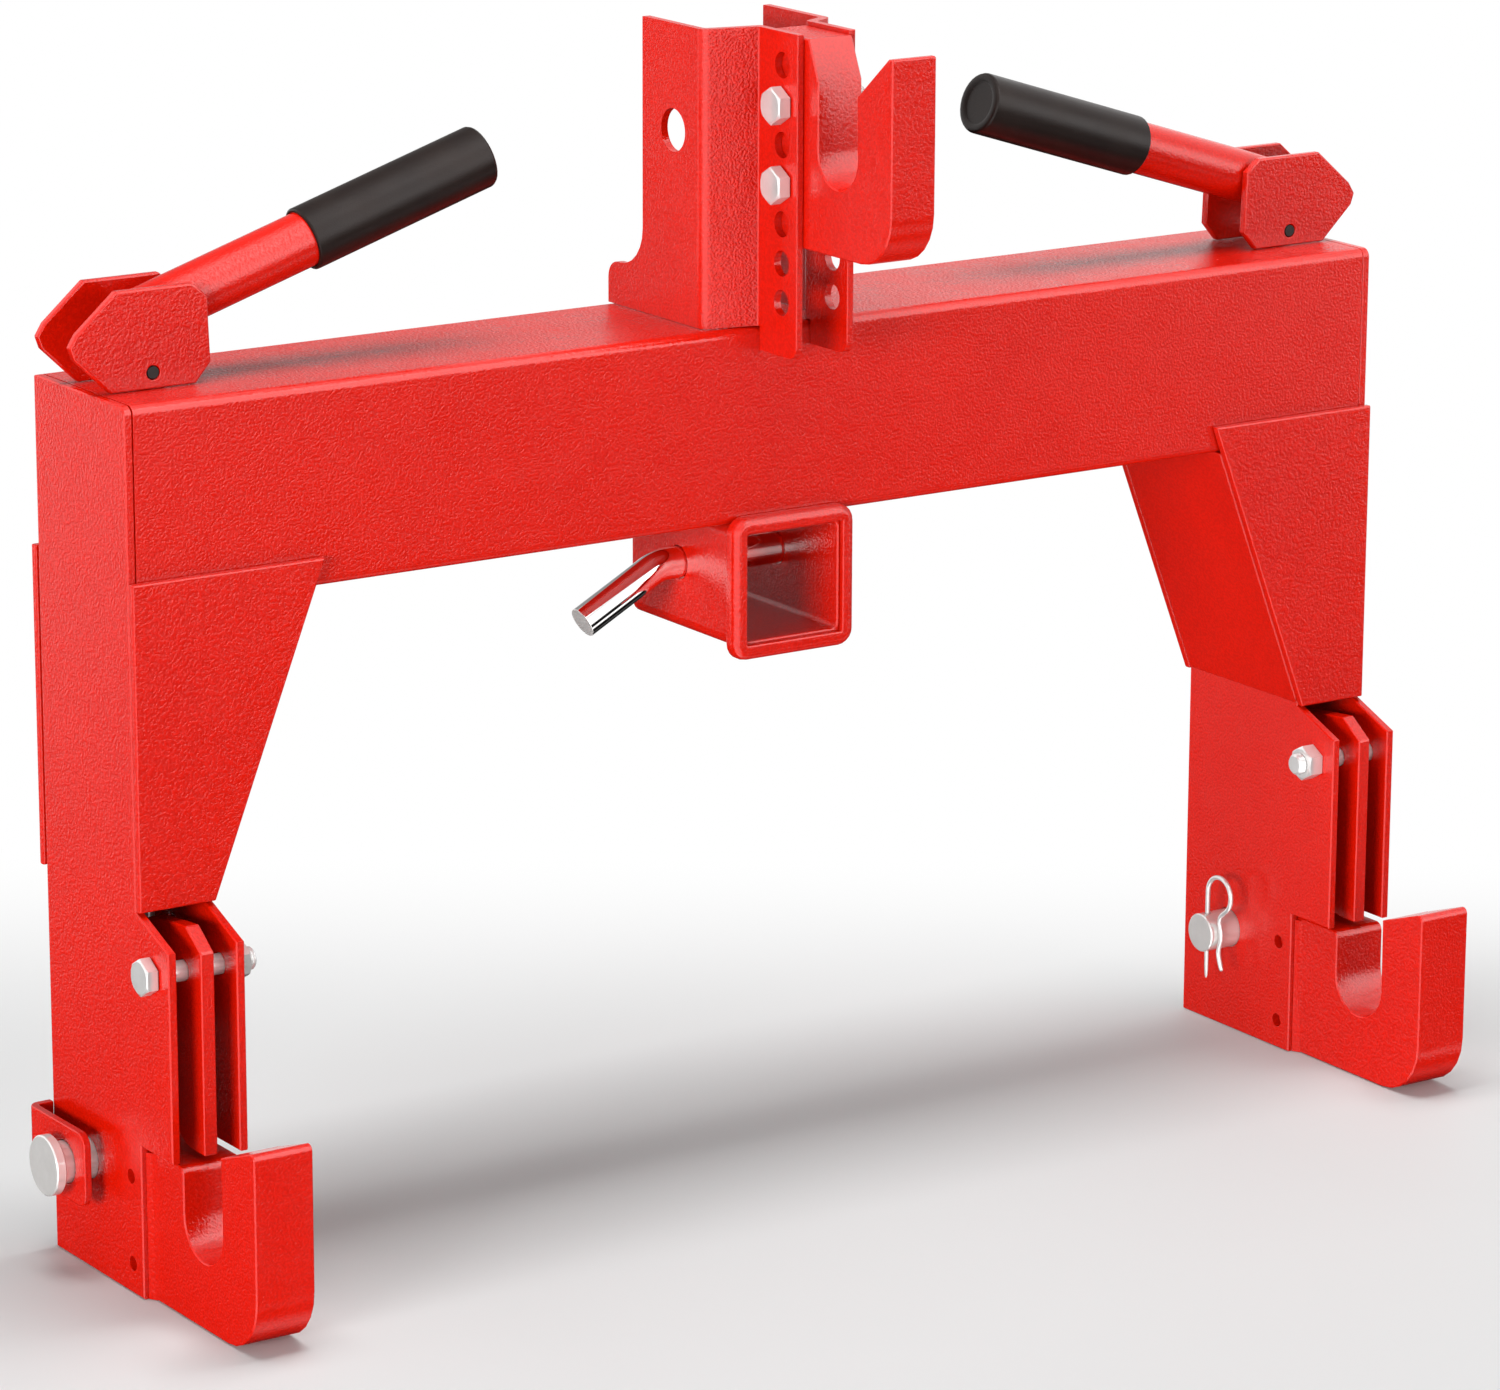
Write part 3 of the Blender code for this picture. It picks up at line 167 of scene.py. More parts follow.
class Groups:
    """The shader node groups that the finishes share."""

    FLOAT = "NodeSocketFloat"
    VECTOR = "NodeSocketVector"
    COLOR = "NodeSocketColor"

    def __init__(self) -> None:
        """Build every group once."""
        self.paint_grain = self.make_paint_grain()
        self.tone_drift = self.make_tone_drift()
        self.gloss_drift = self.make_gloss_drift()
        self.turning_marks = self.make_turning_marks()

    def make_paint_grain(self) -> bpy.types.NodeTree:
        """Pebbled relief of sprayed powder: fine grain on a slower swell.

        Returns:
            The group, which puts out a height.
        """
        group = new_group("paint_grain", {
            "Vector": (self.VECTOR, None), "Grain": (self.FLOAT, 700.0),
            "Swell": (self.FLOAT, 90.0), "Swell Share": (self.FLOAT, 0.3),
        }, {"Height": self.FLOAT})
        start, end = group.nodes["in"], group.nodes["out"]
        grain = add_node(group, "ShaderNodeTexNoise", {
            "Vector": start.outputs["Vector"], "Scale": start.outputs["Grain"],
        }, {"Detail": 2.0, "Roughness": 0.45})
        pebbles = add_node(group, "ShaderNodeMapRange", {"Value": grain.outputs["Fac"]},
                           {"From Min": 0.24, "From Max": 0.76}, interpolation_type="SMOOTHSTEP")
        swell = add_node(group, "ShaderNodeTexNoise", {
            "Vector": start.outputs["Vector"], "Scale": start.outputs["Swell"],
        }, {"Detail": 1.0})
        mixed = add_node(group, "ShaderNodeMix", {
            "Factor": start.outputs["Swell Share"], "A": pebbles.outputs["Result"],
            "B": swell.outputs["Fac"],
        })
        group.links.new(mixed.outputs["Result"], end.inputs["Height"])
        return group

    def make_tone_drift(self) -> bpy.types.NodeTree:
        """Slow drift between two tones of one colour.

        Returns:
            The group, which puts out a colour.
        """
        group = new_group("tone_drift", {
            "Vector": (self.VECTOR, None), "Scale": (self.FLOAT, 12.0),
            "Tone": (self.COLOR, None), "Shade": (self.COLOR, None),
        }, {"Color": self.COLOR})
        start, end = group.nodes["in"], group.nodes["out"]
        drift = add_node(group, "ShaderNodeTexNoise", {
            "Vector": start.outputs["Vector"], "Scale": start.outputs["Scale"],
        }, {"Detail": 3.0, "Roughness": 0.55})
        share = add_node(group, "ShaderNodeMapRange", {"Value": drift.outputs["Fac"]},
                         {"From Min": 0.30, "From Max": 0.70})
        mixed = add_node(group, "ShaderNodeMix", {
            "Factor": share.outputs["Result"], "A": start.outputs["Tone"], "B": start.outputs["Shade"],
        }, data_type="RGBA")
        group.links.new(mixed.outputs["Result"], end.inputs["Color"])
        return group

    def make_gloss_drift(self) -> bpy.types.NodeTree:
        """Roughness that wanders between two values, as handling and dust leave it.

        Returns:
            The group, which puts out a roughness.
        """
        group = new_group("gloss_drift", {
            "Vector": (self.VECTOR, None), "Scale": (self.FLOAT, 40.0),
            "Polished": (self.FLOAT, 0.2), "Dull": (self.FLOAT, 0.4),
        }, {"Roughness": self.FLOAT})
        start, end = group.nodes["in"], group.nodes["out"]
        drift = add_node(group, "ShaderNodeTexNoise", {
            "Vector": start.outputs["Vector"], "Scale": start.outputs["Scale"],
        }, {"Detail": 4.0, "Roughness": 0.6})
        spread = add_node(group, "ShaderNodeMapRange", {
            "Value": drift.outputs["Fac"], "To Min": start.outputs["Polished"],
            "To Max": start.outputs["Dull"],
        }, {"From Min": 0.3, "From Max": 0.7})
        group.links.new(spread.outputs["Result"], end.inputs["Roughness"])
        return group

    def make_turning_marks(self) -> bpy.types.NodeTree:
        """Fine rings left along X by a lathe or a drawing die.

        Returns:
            The group, which puts out a height.
        """
        group = new_group("turning_marks", {
            "Vector": (self.VECTOR, None), "Along": (self.FLOAT, 2600.0), "Across": (self.FLOAT, 60.0),
        }, {"Height": self.FLOAT})
        start, end = group.nodes["in"], group.nodes["out"]
        stretch = add_node(group, "ShaderNodeCombineXYZ", {
            "X": start.outputs["Along"], "Y": start.outputs["Across"], "Z": start.outputs["Across"],
        })
        scaled = add_node(group, "ShaderNodeVectorMath", {
            0: start.outputs["Vector"], 1: stretch.outputs["Vector"],
        }, operation="MULTIPLY")
        marks = add_node(group, "ShaderNodeTexNoise", {"Vector": scaled.outputs["Vector"]},
                         {"Scale": 1.0, "Detail": 2.0})
        group.links.new(marks.outputs["Fac"], end.inputs["Height"])
        return group


# Finishes

class Finish(Protocol):
    """Anything that can make one material."""

    name: str

    def build(self, groups: Groups) -> bpy.types.Material:
        """Make the material from the shared groups."""


def start_material(name: str) -> tuple[bpy.types.Material, bpy.types.NodeTree, bpy.types.Node,
                                       bpy.types.NodeSocket]:
    """Start a Principled material that reads Object coordinates.

    Args:
        name: Name of the material.

    Returns:
        The material, its tree, its Principled node and the coordinate socket.
    """
    material = bpy.data.materials.new(name)
    material.use_nodes = True
    tree = material.node_tree
    coords = add_node(tree, "ShaderNodeTexCoord")
    return material, tree, tree.nodes["Principled BSDF"], coords.outputs["Object"]


def add_group(tree: bpy.types.NodeTree, group: bpy.types.NodeTree, vector: bpy.types.NodeSocket,
              values: dict[str, Any]) -> bpy.types.Node:
    """Place a shared group in a material.

    Args:
        tree: The material's tree.
        group: The group to place.
        vector: The coordinates that it reads.
        values: Its own values in this material.

    Returns:
        The group node.
    """
    node = tree.nodes.new("ShaderNodeGroup")
    node.node_tree = group
    for label, value in values.items():
        node.inputs[label].default_value = value
    tree.links.new(vector, node.inputs["Vector"])
    return node


def add_relief(tree: bpy.types.NodeTree, height: bpy.types.NodeSocket, depth: float,
               shader: bpy.types.Node) -> None:
    """Feed a height to the shader's normal.

    Args:
        tree: The material's tree.
        height: The height, from 0 to 1.
        depth: Depth of the relief in metres.
        shader: The Principled node.
    """
    bump = add_node(tree, "ShaderNodeBump", {"Height": height}, {"Strength": 1.0, "Distance": depth})
    tree.links.new(bump.outputs["Normal"], shader.inputs["Normal"])


@dataclass(frozen=True)
class PowderCoat:
    """Glossy powder coat with an orange peel, whose colour carries painted shade in the peel's hollows and a
    painted highlight on its crests.

    Scales are in bumps to the metre or so, and depths in metres. The paint hands a
    darker red on to the surfaces round it than it shows to the eye, which is painted
    shade: its own recesses and the floor beside it come out darker.
    """

    name: str
    tone: Color
    shade: Color
    polished: float
    dull: float
    grain: float
    swell: float
    swell_share: float
    depth: float
    peel_painted_shade: float                   # painted shade: how much darker the paint is between the crests of its relief
    crest_painted_highlight: float = 0.4        # painted highlight: share of the painted shade by which the crests are lighter
    tone_scale: float = 9.0
    gloss_scale: float = 55.0
    # painted shade: the darker red that light bounced off the paint takes
    dimmed_bounce: Color = (0.28, 0.010, 0.009)

    def build(self, groups: Groups) -> bpy.types.Material:
        """Make the material.

        Args:
            groups: The shared node groups.

        Returns:
            The material.
        """
        material, tree, shader, coords = start_material(self.name)
        tone = add_group(tree, groups.tone_drift, coords, {
            "Scale": self.tone_scale, "Tone": (*self.tone, 1.0), "Shade": (*self.shade, 1.0),
        })
        gloss = add_group(tree, groups.gloss_drift, coords, {
            "Scale": self.gloss_scale, "Polished": self.polished, "Dull": self.dull,
        })
        tree.links.new(gloss.outputs["Roughness"], shader.inputs["Roughness"])
        grain = add_group(tree, groups.paint_grain, coords, {
            "Grain": self.grain, "Swell": self.swell, "Swell Share": self.swell_share,
        })
        # Painted shade and highlight: the colour follows the peel's height, darker in its hollows and
        # lighter on its crests.
        crest = add_node(tree, "ShaderNodeMapRange", {"Value": grain.outputs["Height"]}, {
            "From Min": 0.25, "From Max": 0.75,
            "To Min": 1.0 - self.peel_painted_shade, "To Max": 1.0 + self.peel_painted_shade * self.crest_painted_highlight,
        })
        peel_shaded = add_node(tree, "ShaderNodeVectorMath", {
            0: tone.outputs["Color"], "Scale": crest.outputs["Result"],
        }, operation="SCALE")
        # Painted shade: light bounced off the paint is a darker red, so recesses and the floor beside the
        # paint come out darker.
        path = add_node(tree, "ShaderNodeLightPath")
        bounce_mix = add_node(tree, "ShaderNodeMix", {
            "Factor": path.outputs["Is Diffuse Ray"], "A": peel_shaded.outputs["Vector"],
        }, {"B": (*self.dimmed_bounce, 1.0)}, data_type="RGBA")
        tree.links.new(bounce_mix.outputs["Result"], shader.inputs["Base Color"])
        add_relief(tree, grain.outputs["Height"], self.depth, shader)
        return material


@dataclass(frozen=True)
class PlatedSteel:
    """Bare or plated steel with faint machining marks."""

    name: str
    tone: Color
    shade: Color
    polished: float
    dull: float
    along: float
    depth: float
    bare: float = 1.0               # metallic share; plating that is a little milky has less
    tone_scale: float = 160.0
    gloss_scale: float = 220.0

    def build(self, groups: Groups) -> bpy.types.Material:
        """Make the material.

        Args:
            groups: The shared node groups.

        Returns:
            The material.
        """
        material, tree, shader, coords = start_material(self.name)
        tone = add_group(tree, groups.tone_drift, coords, {
            "Scale": self.tone_scale, "Tone": (*self.tone, 1.0), "Shade": (*self.shade, 1.0),
        })
        tree.links.new(tone.outputs["Color"], shader.inputs["Base Color"])
        gloss = add_group(tree, groups.gloss_drift, coords, {
            "Scale": self.gloss_scale, "Polished": self.polished, "Dull": self.dull,
        })
        tree.links.new(gloss.outputs["Roughness"], shader.inputs["Roughness"])
        marks = add_group(tree, groups.turning_marks, coords, {"Along": self.along})
        add_relief(tree, marks.outputs["Height"], self.depth, shader)
        shader.inputs["Metallic"].default_value = self.bare
        return material


@dataclass(frozen=True)
class Sleeve:
    """Satin black moulded sleeve or black oxide."""

    name: str
    tone: Color
    shade: Color
    polished: float
    dull: float
    grain: float
    depth: float
    swell: float = 120.0
    swell_share: float = 0.2
    tone_scale: float = 45.0
    gloss_scale: float = 70.0
    specular: float = 0.20

    def build(self, groups: Groups) -> bpy.types.Material:
        """Make the material.

        Args:
            groups: The shared node groups.

        Returns:
            The material.
        """
        material, tree, shader, coords = start_material(self.name)
        tone = add_group(tree, groups.tone_drift, coords, {
            "Scale": self.tone_scale, "Tone": (*self.tone, 1.0), "Shade": (*self.shade, 1.0),
        })
        tree.links.new(tone.outputs["Color"], shader.inputs["Base Color"])
        gloss = add_group(tree, groups.gloss_drift, coords, {
            "Scale": self.gloss_scale, "Polished": self.polished, "Dull": self.dull,
        })
        tree.links.new(gloss.outputs["Roughness"], shader.inputs["Roughness"])
        grain = add_group(tree, groups.paint_grain, coords, {
            "Grain": self.grain, "Swell": self.swell, "Swell Share": self.swell_share,
        })
        add_relief(tree, grain.outputs["Height"], self.depth, shader)
        shader.inputs["Specular IOR Level"].default_value = self.specular
        return material


RED_TONE = (0.86, 0.0100, 0.0012)
RED_SHADE = (0.81, 0.0078, 0.0010)
# Painted shade: faces that look up take a slightly darker red than the rest, where the lamp overhead falls
# strongest.
TOP_PAINTED_SHADE_TONE = (0.84, 0.0090, 0.0011)
TOP_PAINTED_SHADE_DRIFT = (0.78, 0.0072, 0.0010)

FINISHES: dict[str, Finish] = {
    "paint": PowderCoat(
        "red_powder_coat", RED_TONE, RED_SHADE, polished=0.13, dull=0.19,
        grain=760.0, swell=130.0, swell_share=0.25, depth=0.00010, peel_painted_shade=0.10),
    "coarse": PowderCoat(
        "coarse_red_powder_coat", RED_TONE, RED_SHADE, polished=0.17, dull=0.25,
        grain=820.0, swell=110.0, swell_share=0.15, depth=0.00040, peel_painted_shade=0.15),
    # Coarse wrinkle on faces that look up, with painted shade: a slightly darker red than the rest.
    "bench": PowderCoat(
        "wrinkled_red_powder_coat", TOP_PAINTED_SHADE_TONE, TOP_PAINTED_SHADE_DRIFT, polished=0.18, dull=0.28,
        grain=640.0, swell=110.0, swell_share=0.2, depth=0.00030, peel_painted_shade=0.14),
    "zinc": PlatedSteel(
        "bright_zinc", (0.90, 0.89, 0.88), (0.82, 0.81, 0.80), polished=0.14, dull=0.22,
        along=2400.0, depth=0.000004, bare=0.42),
    "chrome": PlatedSteel(
        "plated_pin_steel", (0.93, 0.91, 0.89), (0.86, 0.84, 0.82), polished=0.09, dull=0.18,
        along=1800.0, depth=0.000004, bare=0.36),
    "mirror": PlatedSteel(
        "polished_pin_steel", (0.95, 0.93, 0.92), (0.88, 0.86, 0.85), polished=0.04, dull=0.09,
        along=1500.0, depth=0.000002),
    "spring": PlatedSteel(
        "spring_wire", (0.34, 0.34, 0.35), (0.26, 0.26, 0.27), polished=0.30, dull=0.45,
        along=900.0, depth=0.00001),
    "oxide": Sleeve(
        "black_oxide", (0.020, 0.019, 0.018), (0.030, 0.028, 0.026), polished=0.35, dull=0.50,
        grain=2000.0, depth=0.00001),
    "grip": Sleeve(
        "black_grip_sleeve", (0.013, 0.008, 0.007), (0.018, 0.011, 0.009), polished=0.28, dull=0.38,
        grain=1500.0, depth=0.00003),
}


class Palette:
    """Every material, made once."""

    def __init__(self) -> None:
        """Build the groups and the materials."""
        groups = Groups()
        self.materials = {key: finish.build(groups) for key, finish in FINISHES.items()}

    def __getitem__(self, key: str) -> bpy.types.Material:
        """One material by its key."""
        return self.materials[key]


# Shaping

Shape = Callable[[bmesh.types.BMesh], None]
FaceTest = Callable[[bmesh.types.BMFace], bool]


def slice_off(bm: bmesh.types.BMesh, point: Vector, normal: Vector) -> None:
    """Cut away all that lies beyond a plane and close the cut.

    Args:
        bm: A closed mesh.
        point: A point of the plane.
        normal: The side that goes.
    """
    cut = bmesh.ops.bisect_plane(bm, geom=[*bm.verts, *bm.edges, *bm.faces], dist=CUT, plane_co=point,
                                 plane_no=normal, clear_outer=True)
    rim = [item for item in cut["geom_cut"]
           if isinstance(item, bmesh.types.BMEdge) and item.is_boundary]
    if len(rim) > 2:
        bmesh.ops.contextual_create(bm, geom=rim)


def turned_corners(centre: Point, way: float, across: float, tilt: float = math.radians(30.0),
                   reach: float = 0.47, steps: int = 24) -> Shape:
    """The chamfer that turning leaves on the outer face of a hexagon along X.

    Args:
        centre: Middle of the outer face.
        way: Sign of X in which the face looks.
        across: Width across the flats.
        tilt: Angle of the chamfer.
        reach: Radius of the face that is left, as a share of the width.
        steps: Number of cuts round the face.

    Returns:
        The work, to be done on a mesh.
    """
    def shape(bm: bmesh.types.BMesh) -> None:
        """Cut the corners off one after another."""
        for step in range(steps):
            angle = (step + 0.5) * math.tau / steps
            radial = Vector((0.0, math.cos(angle), math.sin(angle)))
            normal = Vector((way, 0.0, 0.0)) * math.cos(tilt) + radial * math.sin(tilt)
            slice_off(bm, Vector(centre) + radial * across * reach, normal)
    return shape


def rounded_corner(corner: tuple[float, float], ways: tuple[float, float], radius: float,
                   steps: int = 5) -> Shape:
    """A rounded upright corner.

    Args:
        corner: X and Y of the corner.
        ways: Signs of X and Y that lead out of the corner.
        radius: Radius of the round.
        steps: Number of cuts along the round.

    Returns:
        The work, to be done on a mesh.
    """
    def shape(bm: bmesh.types.BMesh) -> None:
        """Cut the corner to a row of flats."""
        heart = Vector((corner[0] - ways[0] * radius, corner[1] - ways[1] * radius, 0.0))
        for step in range(steps):
            angle = (step + 0.5) / steps * math.pi / 2
            normal = Vector((ways[0] * math.cos(angle), ways[1] * math.sin(angle), 0.0))
            slice_off(bm, heart + normal * radius, normal)
    return shape


def dished_end(axis: Vector, rim: float, depth: float, slope: float = 0.6) -> Shape:
    """A raised rim round the end of a grip.

    Args:
        axis: The way in which the end looks.
        rim: Width of the rim.
        depth: How far the middle lies below it.
        slope: Width of the wall between rim and middle, as a share of the depth.

    Returns:
        The work, to be done on a mesh.
    """
    def shape(bm: bmesh.types.BMesh) -> None:
        """Set the middle of the end back."""
        end = max(bm.faces, key=lambda face: face.normal.dot(axis) * face.calc_area())
        bmesh.ops.inset_individual(bm, faces=[end], thickness=rim, depth=0.0, use_even_offset=True)
        bmesh.ops.inset_individual(bm, faces=[end], thickness=depth * slope, depth=-depth,
                                   use_even_offset=True)
    return shape


# Pieces

@dataclass(frozen=True)
class Thread:
    """Sizes of a bolt's thread."""

    radius: float
    length: float = 0.0040
    pitch: float = 0.0013
    rise: float = 0.0005
    crest_from: float = 0.45        # where the crest lies, in turns
    crest_to: float = 0.55
    point_length: float = 0.0005
    point_drop: float = 0.0006
    proud: float = 0.0001           # how far the bolt's own end stands back in it
    steps: int = 28


class Workshop:
    """Makes pieces: copies of CAD nodes with soft edges, and new shapes."""

    def __init__(self, frame: dict[str, Any], palette: Palette) -> None:
        """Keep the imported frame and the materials."""
        self.frame = frame
        self.palette = palette
        self.count = 0

    def finish_piece(self, name: str, bm: bmesh.types.BMesh, keys: list[str], body: str,
                     nodes: Iterable[str] = (), edge: float = 0.0, sharp: float = SHARP,
                     smooth: int = 0) -> bpy.types.Object:
        """Turn a mesh into a piece that rides on a body.

        Args:
            name: Name of the piece.
            bm: Its mesh, in place; it is freed.
            keys: Materials, in the order of the faces' material numbers.
            body: The CAD body that it rides on.
            nodes: The CAD nodes that it stands for.
            edge: Radius of its softened edges, or 0.
            sharp: Edges sharper than this stay hard in the shading.
            smooth: Levels of subdivision.

        Returns:
            The piece.
        """
        mesh = bpy.data.meshes.new(name)
        bm.to_mesh(mesh)
        bm.free()
        mesh.polygons.foreach_set("use_smooth", [True] * len(mesh.polygons))
        mesh.set_sharp_from_angle(angle=sharp)
        for key in keys:
            mesh.materials.append(self.palette[key])
        piece = bpy.data.objects.new(name, mesh)
        bpy.context.scene.collection.objects.link(piece)
        if edge > 0.0:
            bevel = piece.modifiers.new("soft_edge", "BEVEL")
            bevel.width = edge
            bevel.segments = BEVEL_SEGMENTS
            bevel.limit_method = "ANGLE"
            bevel.angle_limit = SMOOTH_EDGE
        if smooth:
            rounding = piece.modifiers.new("drawn_wire", "SUBSURF")
            rounding.levels = smooth
            rounding.render_levels = smooth
        normals = piece.modifiers.new("flat_faces", "WEIGHTED_NORMAL")
        normals.keep_sharp = True
        normals.weight = NORMAL_WEIGHT
        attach(piece, body)
        for node in nodes:
            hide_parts(node)
        self.count += 1
        log.info("%s rides on %s", name, body)
        return piece

    def carry(self, node: str, prefix: str, key: str, slot: Slot, edge: float = 0.0,
              sharp: float = SHARP, accents: dict[str, FaceTest] | None = None,
              shapes: Iterable[Shape] = (), smooth: int = 0) -> bpy.types.Object:
        """Carry a CAD node's shape over to a piece with softened shading.

        Args:
            node: The CAD node.
            prefix: Word that starts the piece's name.
            key: Its material.
            slot: Its slot in the record; not used.
            edge: Radius of its softened edges, or 0.
            sharp: Edges sharper than this stay hard in the shading.
            accents: Further materials, each with the test of the faces that take it.
            shapes: Work done on the copy.
            smooth: Levels of subdivision.

        Returns:
            The piece.
        """
        source = self.frame["nodes"][node]
        bm = bmesh.new()
        bm.from_mesh(source.data)
        bmesh.ops.remove_doubles(bm, verts=bm.verts[:], dist=MERGE)
        if not smooth:
            bmesh.ops.dissolve_limit(bm, angle_limit=FLAT, verts=bm.verts[:], edges=bm.edges[:])
        for shape in shapes:
            shape(bm)
        keys = [key]
        for face in bm.faces:
            face.material_index = 0
        for extra, test in (accents or {}).items():
            keys.append(extra)
            for face in bm.faces:
                if test(face):
                    face.material_index = len(keys) - 1
        return self.finish_piece(f"{prefix}_{node}", bm, keys, source["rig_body"], [node],
                                 edge, sharp, smooth)

    def painted(self, node: str, edge: float = 0.0009, accents: dict[str, FaceTest] | None = None,
                shapes: Iterable[Shape] = ()) -> bpy.types.Object:
        """Carry a red plate over."""
        return self.carry(node, "painted", "paint", Slot.RED, edge, accents=accents, shapes=shapes)

    def hexed(self, node: str, way: float) -> bpy.types.Object:
        """Carry a bolt or a nut over and turn its corners off.

        Args:
            node: The CAD node.
            way: Sign of X in which its outer face looks.

        Returns:
            The piece.
        """
        low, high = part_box(node)
        centre = (high.x if way > 0 else low.x, (low.y + high.y) / 2, (low.z + high.z) / 2)
        return self.carry(node, "plated", "zinc", Slot.ZINC, sharp=CRISP,
                          shapes=[turned_corners(centre, way, high.y - low.y)])

    def add_thread(self, name: str, node: str, way: float, thread: Thread) -> None:
        """Cut a thread on the end of a bolt along X.

        Args:
            name: Name of the piece.
            node: The bolt's CAD node.
            way: Sign of X in which the end looks.
            thread: Its sizes.
        """
        low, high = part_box(node)
        end = Vector((high.x if way > 0 else low.x, (low.y + high.y) / 2, (low.z + high.z) / 2))
        root, crest = thread.radius, thread.radius + thread.rise
        turns = max(2, round(thread.length / thread.pitch))
        points: list[tuple[float, float]] = []
        for turn in range(turns):
            points += [(turn, root), (turn + thread.crest_from, crest), (turn + thread.crest_to, crest)]
        outline = [(along * thread.pitch, out) for along, out in points]
        last = turns * thread.pitch
        tip = last + thread.point_length
        outline += [(last, root), (tip, root - thread.point_drop), (tip, 0.0)]
        start = end.x - way * (last + thread.proud)
        bm = bmesh.new()
        verts = [bm.verts.new((start + way * along, end.y + out, end.z)) for along, out in outline]
        edges = [bm.edges.new(pair) for pair in zip(verts, verts[1:])]
        bmesh.ops.spin(bm, geom=[*verts, *edges], cent=end, axis=(1.0, 0.0, 0.0), dvec=(0.0, 0.0, 0.0),
                       angle=math.tau, steps=thread.steps, use_merge=True, use_duplicate=False)
        bmesh.ops.remove_doubles(bm, verts=bm.verts[:], dist=MERGE / 2)
        bmesh.ops.recalc_face_normals(bm, faces=bm.faces[:])
        self.finish_piece(name, bm, ["zinc"], self.frame["nodes"][node]["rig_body"], sharp=CRISP)


@dataclass
class Crossbeam:
    """The crossbeam."""

    shop: Workshop
    land_depth: float = 0.001       # faces this close to the top belong to it

    def build(self) -> None:
        """Dress the beam; its top is the roughest of its faces and carries a painted shade, a slightly
        darker red.
        """
        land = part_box("crossbeam")[1].z - self.land_depth
        self.shop.painted("crossbeam", accents={
            "bench": lambda face: face.normal.z > FACING and face.calc_center_median().z > land,
        })


@dataclass
class Leg:
    """One leg with its gussets, lower hook, latch and latch bolt."""

    shop: Workshop
    side: Side
    corner_radius: float = 0.0040
    thread: Thread = Thread(radius=0.0050)

    def build(self) -> None:
        """Dress the leg's plates and its hardware."""
        label = self.side.label
        out = float(self.side.value)
        low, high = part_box(f"{label}_leg_outer_plate")
        corner = (high.x if out > 0 else low.x, high.y)
        rounding = rounded_corner(corner, (out, 1.0), self.corner_radius)
        self.shop.painted(f"{label}_leg_outer_plate", shapes=[rounding])
        for word in ("leg_inner_plate", "leg_back_plate", "front_gusset", "rear_gusset", "gusset_web",
                     "lower_hook", "latch_bar"):
            self.shop.painted(f"{label}_{word}")
        self.shop.hexed(f"{label}_latch_bolt", out)
        self.shop.hexed(f"{label}_latch_nut", -out)
        self.shop.add_thread(f"{label}_latch_bolt_thread", f"{label}_latch_bolt", -out, self.thread)
        self.shop.carry(f"{label}_pull_rod", "plated", "zinc", Slot.ZINC)
        self.shop.carry(f"{label}_return_spring", "wound", "spring", Slot.SPRING)


@dataclass
class LinkPin:
    """One lower hitch pin with its bracket and its R clip."""

    shop: Workshop
    side: Side
    bracket_edge: float = 0.0005
    pin_edge: float = 0.0011

    def build(self) -> None:
        """Dress the pin, the bracket and the clip."""
        label = self.side.label
        self.shop.painted(f"{label}_pin_bracket", edge=self.bracket_edge)
        self.shop.carry(f"{label}_hitch_pin", "plated", "chrome", Slot.CHROME, edge=self.pin_edge)
        self.shop.carry(f"{label}_hitch_pin_clip", "plated", "zinc", Slot.ZINC, smooth=1)


@dataclass
class Handle:
    """One latch handle: cam ears, tube, grip and pin."""

    shop: Workshop
    side: Side
    rise: float = math.radians(17.5)        # slope of the tube and the grip
    rim: float = 0.0024                     # round the grip's end
    dish: float = 0.0011

    def build(self) -> None:
        """Dress the handle."""
        label = self.side.label
        for word in ("front_ear", "rear_ear", "tube"):
            self.shop.painted(f"{label}_handle_{word}")
        self.shop.carry(f"{label}_handle_pin", "blackened", "oxide", Slot.OXIDE)
        inward = -float(self.side.value)
        axis = Vector((inward * math.cos(self.rise), 0.0, math.sin(self.rise)))
        grip = self.shop.carry(f"{label}_handle_grip", "moulded", "grip", Slot.GRIP,
                               shapes=[dished_end(axis, self.rim, self.dish)])
        grip.visible_shadow = False     # the lamp over it would draw a streak along the beam's top


@dataclass
class Receiver:
    """The receiver tube, its collar and its bent pin."""

    shop: Workshop
    pin_edge: float = 0.0009
    round_end: int = 10             # only the pin's end faces have more corners than this

    def build(self) -> None:
        """Dress the receiver."""
        self.shop.painted("receiver_tube")
        self.shop.painted("receiver_collar")
        self.shop.carry("receiver_pin", "plated", "mirror", Slot.CHROME, edge=self.pin_edge, accents={
            "chrome": lambda face: len(face.verts) > self.round_end,
        })


